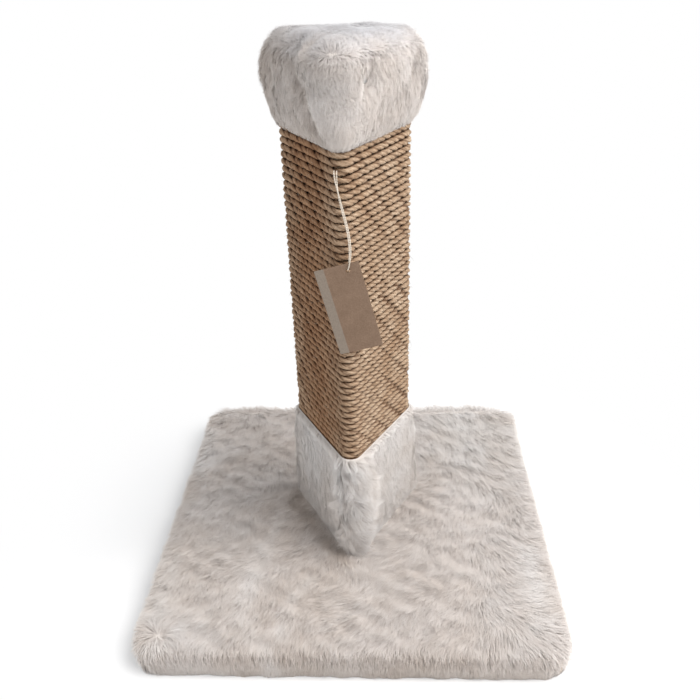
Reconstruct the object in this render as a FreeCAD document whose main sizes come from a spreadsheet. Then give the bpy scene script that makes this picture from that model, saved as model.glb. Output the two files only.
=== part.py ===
"""Cat scratching post: a roped triangular post on a plush covered board.

Millimetres, +Z up.  The origin is on the floor, below the middle of the board.
One corner of the triangular post, and the hanging card, point to -Y.
"""
import FreeCAD, Part
import math
import os

import Sketcher

Vector = FreeCAD.Vector
Rotation = FreeCAD.Rotation
Placement = FreeCAD.Placement

SIZES = {
    # base
    "board_side": 450.0,
    "board_thick": 18.0,
    "board_corner": 12.0,
    "cover_top": 14.0,        # plush above the board, pile included
    "cover_edge": 10.0,       # plush beside the board
    "cover_round": 9.0,       # rounding of the cover's upper rim
    "cover_foot_round": 3.0,  # rounding of the cover's lower rim
    "hem_width": 36.0,
    "lining_thick": 2.0,
    "lining_gap": 2.0,
    # triangular core
    "core_side": 128.0,       # from sharp corner to sharp corner
    "core_corner": 4.0,
    "core_wall": 12.0,
    "core_length": 562.0,
    "foot_block_tall": 45.0,
    "head_block_tall": 30.0,
    "block_corner": 1.5,
    "soft_gap": 0.3,          # between a soft piece and what it lies against
    # fasteners of the core
    "nail_thick": 2.0,
    "nail_long": 30.0,
    "nail_head": 4.5,
    "nail_head_tall": 1.0,
    "nail_inset": 12.0,       # from the core's end to the row of nails
    "nail_spread": 42.0,      # between the two nails of a row
    "screw_thick": 5.0,
    "screw_long": 50.0,
    "screw_head": 9.0,
    "screw_circle": 16.0,     # radius of the circle of screws
    # rope
    "rope_size": 7.2,
    "rope_gap": 0.45,         # least gap between neighbouring turns
    "rope_tuck": 11.5,        # of the winding under the collar, and under the cap
    # collar
    "collar_tall": 134.0,     # above the cover
    "collar_full": 7.0,       # how far its plush stands out beyond the rope
    "collar_round": 17.0,
    # cap
    "cap_tall": 88.25,
    "pad_top": 14.0,          # foam above the core's end
    "cap_skin": 4.0,
    "cap_full": 14.0,         # how far its plush stands out beyond the rope
    "cap_round": 25.0,
    "tack_head": 8.0,
    "tack_head_tall": 1.5,
    "tack_thick": 1.8,
    "tack_long": 21.0,
    "tack_sink": 7.5,         # from the plush to the tack's head
    "tack_spread": 84.0,      # between the two tacks of a side
    "tack_drop": 28.0,        # below the top of the cap
    # staples
    "staple_wide": 11.0,
    "staple_wire": 0.7,
    "staple_long": 9.0,
    "staples_per_side": 3.0,
    "seam_staples": 4.0,
    # card and string
    "card_wide": 45.0,
    "card_tall": 95.0,
    "card_thick": 0.6,
    "card_corner": 0.8,
    "card_hole": 4.5,
    "hole_side": 10.0,        # from the card's middle line to the hole
    "hole_drop": 7.5,         # from the card's upper edge to the hole
    "string_size": 1.5,
}

SIDES = {"back": 90.0, "left": 210.0, "right": 330.0}  # where each face of the post looks
THIRD_TURN = 120.0

doc = FreeCAD.newDocument("ScratchingPost")
sheet = doc.addObject("Spreadsheet::Sheet", "sizes")
for row, (alias, value) in enumerate(SIZES.items(), start=1):
    sheet.set(f"A{row}", alias)
    sheet.set(f"B{row}", str(value))
    sheet.setAlias(f"B{row}", alias)
doc.recompute()


def size(alias):
    """A driving size, read back from the sheet."""
    return float(sheet.get(alias))


# ---------------------------------------------------------------- levels and outlines
def board_top():
    return size("lining_thick") + size("board_thick")


def cover_top_level():
    return board_top() + size("cover_top")


def core_top():
    return board_top() + size("core_length")


def core_inradius():
    """From the post's axis to a face of the core."""
    return size("core_side") / (2 * math.sqrt(3))


def rope_axis_inradius():
    return core_inradius() + size("soft_gap") + size("rope_size") / 2


def rope_inradius():
    """From the post's axis to the outside of the rope."""
    return rope_axis_inradius() + size("rope_size") / 2


def rope_outer_corner():
    return size("core_corner") + size("soft_gap") + size("rope_size")


def collar_top():
    return cover_top_level() + size("collar_tall")


def cap_high():
    return core_top() + size("pad_top") + size("cap_skin")


def cap_low():
    return cap_high() - size("cap_tall")


def rope_low():
    """Lower edge of the whole winding, hidden by the collar."""
    return collar_top() - size("rope_tuck")


def rope_high():
    """Upper edge of the whole winding, hidden by the cap."""
    return cap_low() + size("rope_tuck")


def rope_turns():
    """As many turns as go between the two edges, in the lower and in the upper length of rope."""
    climb = rope_high() - rope_low() - size("rope_size")
    turns = int(climb / (size("rope_size") + size("rope_gap")) + 1e-6)
    return turns - turns // 2, turns // 2


def rope_pitch():
    return (rope_high() - rope_low() - size("rope_size")) / sum(rope_turns())


def rope_middle():
    """Where the second length of rope takes over from the first."""
    return rope_low() + rope_turns()[0] * rope_pitch()


def face_point(side, along, out, level):
    """A point beside a face of the post: along the face, out from the axis, at a level."""
    turn = math.radians(SIDES[side])
    normal = Vector(math.cos(turn), math.sin(turn), 0)
    across = Vector(-math.sin(turn), math.cos(turn), 0)
    return normal * out + across * along + Vector(0, 0, level)


def triangle_wire(inradius, corner, level):
    """The post's section at some inradius: three lines and three arcs."""
    corner = min(corner, 0.8 * inradius)
    centre_reach = 2 * (inradius - corner)
    edges = []
    for index in range(3):
        normal = math.radians(90.0 + THIRD_TURN * index)
        bisector = normal + math.radians(THIRD_TURN / 2)
        centre = Vector(centre_reach * math.cos(bisector), centre_reach * math.sin(bisector), level)
        half_side = centre_reach * math.sin(math.radians(THIRD_TURN / 2))
        middle = Vector(inradius * math.cos(normal), inradius * math.sin(normal), level)
        across = Vector(-math.sin(normal), math.cos(normal), 0)
        start = middle - across * half_side
        end = middle + across * half_side
        edges.append(Part.LineSegment(start, end).toShape())
        top = centre + Vector(corner * math.cos(bisector), corner * math.sin(bisector), 0)
        after = normal + math.radians(THIRD_TURN)
        last = centre + Vector(corner * math.cos(after), corner * math.sin(after), 0)
        edges.append(Part.Arc(end, top, last).toShape())
    return Part.Wire(edges)


def triangle_prism(inradius, corner, low, high):
    face = Part.Face(triangle_wire(inradius, corner, low))
    return face.extrude(Vector(0, 0, high - low))


def closed_polygon(points):
    return Part.makePolygon(points + points[:1])


def flat_sided(rings):
    """A solid with flat faces from ring to ring; matching edges of the rings are parallel."""
    faces = [Part.Face(closed_polygon(ring)) for ring in (rings[0], rings[-1])]
    for below, above in zip(rings, rings[1:]):
        for index in range(len(below)):
            corners = [below[index - 1], below[index], above[index], above[index - 1]]
            faces.append(Part.Face(closed_polygon(corners)))
    solid = Part.makeSolid(Part.makeShell(faces))
    if solid.Volume < 0:
        solid.reverse()
    return solid


# ---------------------------------------------------------------- document helpers
def new_feature(name, shape):
    """A sub-part whose shape is worked out from the sheet."""
    feature = doc.addObject("Part::Feature", name)
    feature.Shape = shape
    return feature


def new_body(name):
    return doc.addObject("PartDesign::Body", name)


def body_plane(body, role):
    return next(item for item in body.Origin.OriginFeatures if item.Role == role)


def worked_out(expression):
    """The number that an expression of the sheet gives now."""
    return float(sheet.evalExpression(expression))


def outline_sketch(body, name, sides, corner, level=None):
    """A closed outline of straight sides with equal rounded corners.

    sides lists (direction of the side's normal in degrees, distance from the origin), the
    distances, the corner and the level being expressions of the sheet.
    """
    sketch = body.newObject("Sketcher::SketchObject", name)
    sketch.AttachmentSupport = (body_plane(body, "XY_Plane"), [""])
    sketch.MapMode = "FlatFace"
    if level:
        sketch.setExpression("AttachmentOffset.Base.z", level)
    radius = worked_out(corner)
    lines = []
    for angle, distance in sides:
        turn = math.radians(angle)
        lines.append((turn, worked_out(distance)))

    def meeting(first, second, inset):
        """Where two sides meet once both are drawn in by inset."""
        (turn_a, far_a), (turn_b, far_b) = first, second
        far_a, far_b = far_a - inset, far_b - inset
        cross = math.sin(turn_b - turn_a)
        across = (far_a * math.sin(turn_b) - far_b * math.sin(turn_a)) / cross
        up = (far_b * math.cos(turn_a) - far_a * math.cos(turn_b)) / cross
        return Vector(across, up, 0)

    count = len(lines)
    centres = [meeting(lines[i], lines[(i + 1) % count], radius) for i in range(count)]
    axis = Vector(0, 0, 1)
    for i, (turn, _) in enumerate(lines):
        out = Vector(math.cos(turn), math.sin(turn), 0) * radius
        next_turn = lines[(i + 1) % count][0]
        start = centres[i - 1] + out
        end = centres[i] + out
        sketch.addGeometry(Part.LineSegment(start, end), False)
        circle = Part.Circle(centres[i], axis, radius)
        if next_turn < turn:
            next_turn += 2 * math.pi
        sketch.addGeometry(Part.ArcOfCircle(circle, turn, next_turn), False)
    for i, (turn, far) in enumerate(lines):
        line, arc = 2 * i, 2 * i + 1
        following = (2 * i + 2) % (2 * count)
        sketch.addConstraint(Sketcher.Constraint("Tangent", line, 2, arc, 1))
        sketch.addConstraint(Sketcher.Constraint("Tangent", arc, 2, following, 1))
        heading = math.remainder(turn + math.pi / 2, 2 * math.pi)
        sketch.addConstraint(Sketcher.Constraint("Angle", line, heading))
        reach = sketch.addConstraint(Sketcher.Constraint("Distance", -1, 1, line, far))
        sketch.renameConstraint(reach, f"reach_{i}")
        sketch.setExpression(f"Constraints.reach_{i}", sides[i][1])
        if i:
            sketch.addConstraint(Sketcher.Constraint("Equal", 1, arc))
    rounding = sketch.addConstraint(Sketcher.Constraint("Radius", 1, radius))
    sketch.renameConstraint(rounding, "rounding")
    sketch.setExpression("Constraints.rounding", corner)
    return sketch


def square(half):
    return [(angle, half) for angle in (0.0, 90.0, 180.0, 270.0)]


def triangle(inradius):
    return [(angle, inradius) for angle in SIDES.values()]


def pad(body, name, sketch, length):
    feature = body.newObject("PartDesign::Pad", name)
    feature.Profile = sketch
    feature.setExpression("Length", length)
    return feature


def pocket_up(body, name, sketch, length):
    """A pocket that cuts upwards from its sketch."""
    feature = body.newObject("PartDesign::Pocket", name)
    feature.Profile = sketch
    feature.setExpression("Length", length)
    feature.Reversed = True
    return feature


def rim_edges(shape, level):
    """Names of the edges that lie in the level plane."""
    names = []
    for index, edge in enumerate(shape.Edges, start=1):
        box = edge.BoundBox
        if abs(box.ZMin - level) < 1e-4 and abs(box.ZMax - level) < 1e-4:
            names.append(f"Edge{index}")
    return names


def round_rim(body, name, base, level, radius):
    doc.recompute()
    feature = body.newObject("PartDesign::Fillet", name)
    feature.Base = (base, rim_edges(base.Shape, level))
    feature.setExpression("Radius", radius)
    return feature


def cut_by(name, base, tools):
    """The base with holes of exactly the tools' shape."""
    cutter = tools[0]
    if len(tools) > 1:
        cutter = doc.addObject("Part::Compound", f"{name}_fasteners")
        cutter.Links = tools
    feature = doc.addObject("Part::Cut", name)
    feature.Base = base
    feature.Tool = cutter
    return feature


# ---------------------------------------------------------------- fasteners
def six_sided(across, level=0.0):
    """A regular ring of corners, as wide as across from corner to corner."""
    turns = [2 * math.pi * index / 6 for index in range(6)]
    return [Vector(across / 2 * math.cos(turn), across / 2 * math.sin(turn), level) for turn in turns]


def bar(across, low, high):
    return flat_sided([six_sided(across, low), six_sided(across, high)])


def nail_solid(thick, long, head, head_tall):
    """A flat-headed nail, its head's top at the origin and its point at -Z."""
    return bar(thick, -long, -head_tall).fuse(bar(head, -head_tall, 0))


def screw_solid():
    """A countersunk wood screw that stands up from its head at the origin."""
    shank, head, long = size("screw_thick"), size("screw_head"), size("screw_long")
    cone = (head - shank) / 2
    return flat_sided([six_sided(head, 0), six_sided(shank, cone), six_sided(shank, long)])


def staple_solid():
    """A staple with its crown's outside on the XY plane and its legs up."""
    wide, wire, long = size("staple_wide"), size("staple_wire"), size("staple_long")
    crown = Part.makeBox(wide, wire, wire, Vector(-wide / 2, -wire / 2, 0))
    legs = [Part.makeBox(wire, wire, long, Vector(x, -wire / 2, 0))
            for x in (-wide / 2, wide / 2 - wire)]
    return crown.fuse(legs).removeSplitter()


def aimed(shape, point, direction):
    """A copy whose +Z looks along direction, moved to the point."""
    copy = shape.copy()
    copy.Placement = Placement(point, Rotation(Vector(0, 0, 1), direction))
    return copy


def outward(side):
    return face_point(side, 0, 1, 0)


def make_side_nails():
    nail = nail_solid(size("nail_thick"), size("nail_long"), size("nail_head"), size("nail_head_tall"))
    nails = []
    for level in (board_top() + size("nail_inset"), core_top() - size("nail_inset")):
        for side in SIDES:
            for along in (-size("nail_spread") / 2, size("nail_spread") / 2):
                nails.append(aimed(nail, face_point(side, along, core_inradius(), level), outward(side)))
    return new_feature("side_nails", Part.Compound(nails))


def make_post_screws():
    screws = []
    for side in SIDES:
        point = face_point(side, 0, size("screw_circle"), size("lining_thick"))
        screws.append(aimed(screw_solid(), point, Vector(0, 0, 1)))
    return new_feature("post_screws", Part.Compound(screws))


def make_hem_staples():
    count = int(round(size("staples_per_side")))
    row = size("board_side") / 2 - size("hem_width") / 2
    span = size("board_side") - 2 * size("hem_width")
    staples = []
    for quarter in range(4):
        for index in range(count):
            along = span * ((index + 0.5) / count - 0.5)
            staple = staple_solid()
            staple.translate(Vector(along, -row, 0))
            staple.rotate(Vector(0, 0, 0), Vector(0, 0, 1), 90 * quarter)
            staples.append(staple)
    return new_feature("hem_staples", Part.Compound(staples))


def seam_staple_levels():
    count = int(round(size("seam_staples")))
    span = size("collar_tall") - size("rope_tuck")
    return [cover_top_level() + span * (index + 0.5) / count for index in range(count)]


def make_collar_staples():
    """Staples up the collar's back seam, crowns across the seam and sunk in the pile."""
    staples = []
    crown_out = core_inradius() + size("staple_long") / 3
    for level in seam_staple_levels():
        staple = staple_solid()
        staple.Placement = Placement(face_point("back", 0, crown_out, level),
                                     Rotation(Vector(1, 0, 0), 90))
        staples.append(staple)
    return new_feature("collar_staples", Part.Compound(staples))


def rope_nail_places():
    """Middle of the back face, just inside each free end of the rope."""
    inset = size("rope_size")
    half = size("rope_size") / 2
    return [(-inset, rope_low() + half), (inset, rope_high() - half)]


def make_rope_nails():
    nail = nail_solid(size("nail_thick"), size("rope_size") + size("core_wall"), size("nail_head"),
                      size("nail_head_tall"))
    nails = [aimed(nail, face_point("back", along, rope_inradius(), level), outward("back"))
             for along, level in rope_nail_places()]
    return new_feature("rope_nails", Part.Compound(nails))


def tack_places():
    """Where the cap's tacks press on its cover: near both ends of each side."""
    level = cap_high() - size("tack_drop")
    out = rope_inradius() + size("cap_full") - size("tack_sink")
    return [(side, along, out, level) for side in SIDES
            for along in (-size("tack_spread") / 2, size("tack_spread") / 2)]


def make_cap_tacks():
    tall = size("tack_head_tall")
    tack = nail_solid(size("tack_thick"), size("tack_long"), size("tack_head"), tall)
    tacks = [aimed(tack, face_point(side, along, out + tall, level), outward(side))
             for side, along, out, level in tack_places()]
    return new_feature("cap_tacks", Part.Compound(tacks))


# ---------------------------------------------------------------- core
BACK_REACH = "sizes.core_side / (2 * sqrt(3))"


def make_post_side(name, side, fasteners):
    """A board of the core, mitred along the planes that bisect the post's corners."""
    body = new_body(f"{name}_board")
    sketch = body.newObject("Sketcher::SketchObject", f"{name}_section")
    sketch.AttachmentSupport = (body_plane(body, "XY_Plane"), [""])
    sketch.MapMode = "FlatFace"
    out, corner, wall = core_inradius(), size("core_corner"), size("core_wall")
    reach = 2 * (out - corner)
    mitre = math.radians(30.0)
    centre = Vector(reach * math.cos(mitre), reach * math.sin(mitre), 0)
    mirrored = Vector(-centre.x, centre.y, 0)
    nose = centre + Vector(corner * math.cos(mitre), corner * math.sin(mitre), 0)
    heel = Vector((out - wall) / math.tan(mitre), out - wall, 0)
    up = Vector(0, 0, 1)
    outer, left_arc, left_mitre, inner, right_mitre, right_arc = range(6)
    sketch.addGeometry(Part.LineSegment(Vector(centre.x, out, 0), Vector(-centre.x, out, 0)), False)
    sketch.addGeometry(Part.ArcOfCircle(Part.Circle(mirrored, up, corner), math.pi / 2, math.pi - mitre),
                       False)
    sketch.addGeometry(Part.LineSegment(Vector(-nose.x, nose.y, 0), Vector(-heel.x, heel.y, 0)), False)
    sketch.addGeometry(Part.LineSegment(Vector(-heel.x, heel.y, 0), heel), False)
    sketch.addGeometry(Part.LineSegment(heel, nose), False)
    sketch.addGeometry(Part.ArcOfCircle(Part.Circle(centre, up, corner), mitre, math.pi / 2), False)
    for first, second in ((left_arc, left_mitre), (left_mitre, inner), (inner, right_mitre),
                          (right_mitre, right_arc)):
        sketch.addConstraint(Sketcher.Constraint("Coincident", first, 2, second, 1))
    sketch.addConstraint(Sketcher.Constraint("Tangent", outer, 2, left_arc, 1))
    sketch.addConstraint(Sketcher.Constraint("Tangent", right_arc, 2, outer, 1))
    sketch.addConstraint(Sketcher.Constraint("Horizontal", outer))
    sketch.addConstraint(Sketcher.Constraint("Horizontal", inner))
    sketch.addConstraint(Sketcher.Constraint("Angle", right_mitre, mitre))
    sketch.addConstraint(Sketcher.Constraint("Angle", left_mitre, -mitre))
    for line, arc in ((left_mitre, left_arc), (right_mitre, right_arc)):
        sketch.addConstraint(Sketcher.Constraint("PointOnObject", -1, 1, line))
        sketch.addConstraint(Sketcher.Constraint("PointOnObject", arc, 3, line))
    sketch.addConstraint(Sketcher.Constraint("Equal", left_arc, right_arc))
    for label, geometry, value, expression in (
            ("outside", outer, out, BACK_REACH),
            ("inside", inner, out - wall, f"{BACK_REACH} - sizes.core_wall")):
        index = sketch.addConstraint(Sketcher.Constraint("Distance", -1, 1, geometry, value))
        sketch.renameConstraint(index, label)
        sketch.setExpression(f"Constraints.{label}", expression)
    index = sketch.addConstraint(Sketcher.Constraint("Radius", left_arc, corner))
    sketch.renameConstraint(index, "eased_corner")
    sketch.setExpression("Constraints.eased_corner", "sizes.core_corner")
    pad(body, f"{name}_length", sketch, "sizes.core_length")
    body.Placement = Placement(Vector(0, 0, 0), Rotation(Vector(0, 0, 1), SIDES[side] - SIDES["back"]))
    body.setExpression("Placement.Base.z", "sizes.lining_thick + sizes.board_thick")
    return cut_by(name, body, fasteners)


def make_block(name, tall, base_level, fasteners):
    """A triangular block between the three boards of the core."""
    body = new_body(f"{name}_blank")
    sketch = outline_sketch(body, f"{name}_section", triangle(f"{BACK_REACH} - sizes.core_wall"),
                            "sizes.block_corner")
    pad(body, f"{name}_height", sketch, tall)
    body.setExpression("Placement.Base.z", base_level)
    return cut_by(name, body, fasteners)


# ---------------------------------------------------------------- base
HALF_BOARD = "sizes.board_side / 2"


def make_base_board(fasteners):
    body = new_body("board_blank")
    sketch = outline_sketch(body, "board_outline", square(HALF_BOARD), "sizes.board_corner")
    pad(body, "board_thickness", sketch, "sizes.board_thick")
    body.setExpression("Placement.Base.z", "sizes.lining_thick")
    return cut_by("base_board", body, fasteners)


def make_base_fur(fasteners):
    """The cover: one closed plush skin over the board, with its hem turned in below."""
    body = new_body("cover_blank")
    outside = outline_sketch(body, "cover_outline", square(f"{HALF_BOARD} + sizes.cover_edge"),
                             "sizes.board_corner + sizes.cover_edge")
    block = pad(body, "cover_height", outside,
                "sizes.lining_thick + sizes.board_thick + sizes.cover_top")
    rim = round_rim(body, "cover_rim", block, cover_top_level(), "sizes.cover_round")
    foot = round_rim(body, "cover_foot", rim, 0.0, "sizes.cover_foot_round")
    doc.recompute()
    solid_volume = foot.Shape.Volume
    room = outline_sketch(body, "board_room", square(f"{HALF_BOARD} + sizes.soft_gap"),
                          "sizes.board_corner + sizes.soft_gap", "sizes.lining_thick")
    pocket_up(body, "board_pocket", room, "sizes.board_thick")
    window = outline_sketch(body, "hem_window", square(f"{HALF_BOARD} - sizes.hem_width"),
                            "sizes.board_corner")
    pocket_up(body, "window_pocket", window, "sizes.lining_thick")
    slot = outline_sketch(body, "post_slot", triangle(f"{BACK_REACH} + sizes.soft_gap"),
                          "sizes.core_corner + sizes.soft_gap",
                          "sizes.lining_thick + sizes.board_thick")
    last = pocket_up(body, "post_pocket", slot, "sizes.cover_top")
    doc.recompute()
    removed = solid_volume - last.Shape.Volume
    if removed < size("board_side") ** 2 * size("board_thick"):
        raise RuntimeError("the cover's pockets did not all cut")
    return cut_by("base_fur", body, fasteners)


def make_base_lining():
    body = new_body("base_lining")
    sketch = outline_sketch(
        body, "lining_outline", square(f"{HALF_BOARD} - sizes.hem_width - sizes.lining_gap"),
        "sizes.board_corner")
    pad(body, "lining_thickness", sketch, "sizes.lining_thick")
    return body


# ---------------------------------------------------------------- rope
ROPE_MITRES = 4  # the rope goes round each corner of the post in this many equal bends


def rope_axis(low, turns):
    """Axis of one length of rope, as the corners of its straight runs.

    It starts and ends on the middle of the back face.  Round each corner of the post the runs
    touch one arc, and the rope climbs evenly all the way.
    """
    inradius = rope_axis_inradius()
    radius = size("core_corner") + size("soft_gap") + size("rope_size") / 2
    bend = math.radians(THIRD_TURN / ROPE_MITRES)
    reach = 2 * (inradius - radius)
    flat = [Vector(0, inradius, 0)]
    for step in range(3 * turns):
        bisector = math.radians(SIDES["back"] + THIRD_TURN * (step + 0.5))
        centre = Vector(reach * math.cos(bisector), reach * math.sin(bisector), 0)
        for mitre in range(ROPE_MITRES):
            angle = bisector + bend * (mitre - (ROPE_MITRES - 1) / 2)
            out = radius / math.cos(bend / 2)
            flat.append(centre + Vector(out * math.cos(angle), out * math.sin(angle), 0))
    flat.append(Vector(0, inradius, 0))
    whole = sum(first.distanceToPoint(second) for first, second in zip(flat, flat[1:]))
    base = low + size("rope_size") / 2
    climb = turns * rope_pitch() / whole
    axis, run = [], 0.0
    for index, point in enumerate(flat):
        if index:
            run += point.distanceToPoint(flat[index - 1])
        axis.append(point + Vector(0, 0, base + climb * run))
    return axis


def tube_section(centre, heading, across):
    """Corners of a tube's section, square to the heading."""
    turned = Placement(centre, Rotation(Vector(0, 0, 1), heading))
    return [turned.multVec(corner) for corner in six_sided(across)]


def mitred_tube(axis, across):
    """A six-sided tube along straight runs, mitred where they meet."""
    corners = tube_section(axis[0], axis[1] - axis[0], across)
    rings = [corners]
    for index in range(1, len(axis)):
        arriving = (axis[index] - axis[index - 1]).normalize()
        leaving = arriving
        if index + 1 < len(axis):
            leaving = (axis[index + 1] - axis[index]).normalize()
        mitre = arriving + leaving
        corners = [corner + arriving * ((axis[index] - corner).dot(mitre) / arriving.dot(mitre))
                   for corner in corners]
        rings.append(corners)
    return flat_sided(rings)


def report_tube(label, solid, section_area, length):
    share = solid.Volume / (section_area * length)
    print(f"{label}: length {length:.1f} mm, volume {share:.4f} of section x length")


def report_rope_gap(label, axis):
    """Least gap between a turn and the next one up, measured on points of the axis."""
    per_turn = 3 * ROPE_MITRES
    least = math.inf
    for index in range(len(axis) - per_turn - 2):
        run = Part.LineSegment(axis[index + per_turn], axis[index + per_turn + 1]).toShape()
        for share in (0.0, 0.5):
            point = axis[index] * (1 - share) + axis[index + 1] * share
            least = min(least, run.distToShape(Part.Vertex(point))[0])
    print(f"{label}: least gap to itself {least - size('rope_size'):.3f} mm")


def make_rope(name, low, turns, nails):
    axis = rope_axis(low, turns)
    across = size("rope_size")
    solid = mitred_tube(axis, across)
    length = sum(first.distanceToPoint(second) for first, second in zip(axis, axis[1:]))
    area = Part.Face(closed_polygon(six_sided(across))).Area
    report_tube(name, solid, area, length)
    report_rope_gap(name, axis)
    winding = new_feature(f"{name}_winding", solid)
    return cut_by(name, winding, nails)


# ---------------------------------------------------------------- plush of the collar and the cap
CORNER_STEPS = 6  # flats round each corner of the plush


def triangle_ring(inradius, corner, level):
    """Corners of a rounded triangle, as triangle_wire draws it."""
    reach = 2 * (inradius - corner)
    ring = []
    for side in SIDES.values():
        bisector = math.radians(side + THIRD_TURN / 2)
        centre = Vector(reach * math.cos(bisector), reach * math.sin(bisector), level)
        for step in range(CORNER_STEPS + 1):
            turn = math.radians(side + THIRD_TURN * step / CORNER_STEPS)
            ring.append(centre + Vector(corner * math.cos(turn), corner * math.sin(turn), 0))
    return ring


# Outside of the collar and of the cap, from below: (share of the height, share of the fullness).
# The cap rounds over at its top and rises to a low crown.
COLLAR_PROFILE = ((0.0, 1.0), (0.5, 1.0), (0.85, 0.8), (1.0, 0.3))
CAP_PROFILE = ((0.0, 0.2), (0.06, 0.5), (0.2, 0.75), (0.42, 0.93), (0.68, 1.0), (0.785, 0.87),
               (0.873, 0.5), (0.932, -0.06), (0.96, -0.75), (0.985, -1.5), (1.0, -2.3))
LEAST_ROUND = 4.0


def plush_form(profile, low, high, full, corner, inset=0.0):
    """A plush form that stands out beyond the rope, or the same form drawn in by inset."""
    rings = []
    for share, fullness in profile:
        drawn_in = inset + full * (1 - fullness)
        rings.append(triangle_ring(rope_inradius() + full - drawn_in, max(corner - drawn_in, LEAST_ROUND),
                                   low + (high - low) * share))
    return flat_sided(rings)


def make_collar_fur(fasteners):
    """A plush sleeve from the cover up over the lowest turns of the rope."""
    low, high = cover_top_level(), collar_top()
    outside = plush_form(COLLAR_PROFILE, low, high, size("collar_full"), size("collar_round"))
    gap = size("soft_gap")
    bore = triangle_prism(core_inradius() + gap, size("core_corner") + gap, low, high)
    rope_room = triangle_prism(rope_inradius() + gap, rope_outer_corner() + gap, rope_low() - gap, high)
    shafts = []
    for level in seam_staple_levels():
        wide, wire = size("staple_wide"), size("staple_wire")
        start = core_inradius() + size("staple_long") / 3
        shafts.append(Part.makeBox(wide, rope_inradius() + 2 * size("collar_full") - start, wire,
                                   face_point("back", 0, start, level) + Vector(-wide / 2, 0, -wire / 2)))
    sleeve = new_feature("collar_sleeve", outside.cut([bore, rope_room] + shafts))
    return cut_by("collar_fur", sleeve, fasteners)


def cap_outside(inset=0.0):
    """The cap's outer form, or the same form drawn in by inset on the sides and the top."""
    return plush_form(CAP_PROFILE, cap_low(), cap_high() - inset, size("cap_full"), size("cap_round"),
                      inset)


def head_room():
    """What the foam and the cover fit round: the core's end and the last turns of rope."""
    gap = size("soft_gap")
    core = triangle_prism(core_inradius() + gap, size("core_corner") + gap, cap_low(), core_top())
    rope = triangle_prism(rope_inradius() + gap, rope_outer_corner() + gap, cap_low(), rope_high() + gap)
    return core.fuse(rope)


def dimples(grow=0.0):
    """A funnel from each tack of the cap outwards, or the same funnel grown all round."""
    funnels = []
    depth = 2 * size("tack_sink")
    narrow = size("tack_head") / 2 + size("soft_gap") + grow
    for side, along, out, level in tack_places():
        funnel = flat_sided([six_sided(2 * narrow, 0), six_sided(2 * narrow + depth, depth)])
        funnels.append(aimed(funnel, face_point(side, along, out - grow, level), outward(side)))
    return funnels


def make_cap_pad(fasteners):
    """The foam hood over the head of the post."""
    skin = size("cap_skin")
    above_rope = rope_high() + 2 * size("soft_gap")
    reach = 4 * rope_inradius()
    below = Part.makeBox(2 * reach, 2 * reach, above_rope, Vector(-reach, -reach, 0))
    foam = cap_outside(skin).cut([head_room(), below] + dimples(skin))
    return cut_by("cap_pad", new_feature("cap_foam", foam), fasteners)


def make_cap_fur(fasteners):
    """The cap's cover, closed round the foam and drawn in over the rope's last turns."""
    inner = size("cap_skin") - size("soft_gap")
    outside = cap_outside().cut(dimples())
    inside = cap_outside(inner).cut(dimples(inner))
    skin = outside.cut([inside, head_room()])
    return cut_by("cap_fur", new_feature("cap_cover", skin), fasteners)


# ---------------------------------------------------------------- card and string
# Axis of the twine, from the rope down in front of the card, through its hole and back up
# behind it to the same turn of rope.
STRING_ROUTE = (
    (-5.6, -75.8, 494.6),
    (-5.6, -79.0, 494.6),
    (-5.5, -81.5, 492.2),
    (-4.8, -81.9, 486.0),
    (-2.2, -81.8, 474.5),
    (2.6, -81.9, 455.0),
    (7.0, -81.8, 434.0),
    (8.0, -81.9, 416.5),
    (6.2, -81.9, 405.5),
    (4.4, -81.9, 398.9),
    (4.4, -78.5, 398.9),
    (5.4, -78.5, 405.5),
    (6.4, -78.5, 417.0),
    (5.0, -78.6, 435.5),
    (0.6, -78.9, 455.5),
    (-2.7, -79.5, 474.0),
    (-3.4, -80.4, 486.0),
    (-3.3, -80.9, 491.8),
    (-3.1, -79.6, 494.3),
    (-3.1, -77.3, 494.6),
)
LOW_FRONT, LOW_BACK = STRING_ROUTE[9:11]  # where the twine goes through the card


def card_tilt():
    """The card hangs from a hole beside its middle line, with its weight below the twine."""
    rise = size("card_tall") / 2 - size("hole_drop")
    return math.degrees(math.atan2(size("hole_side"), rise))


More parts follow.
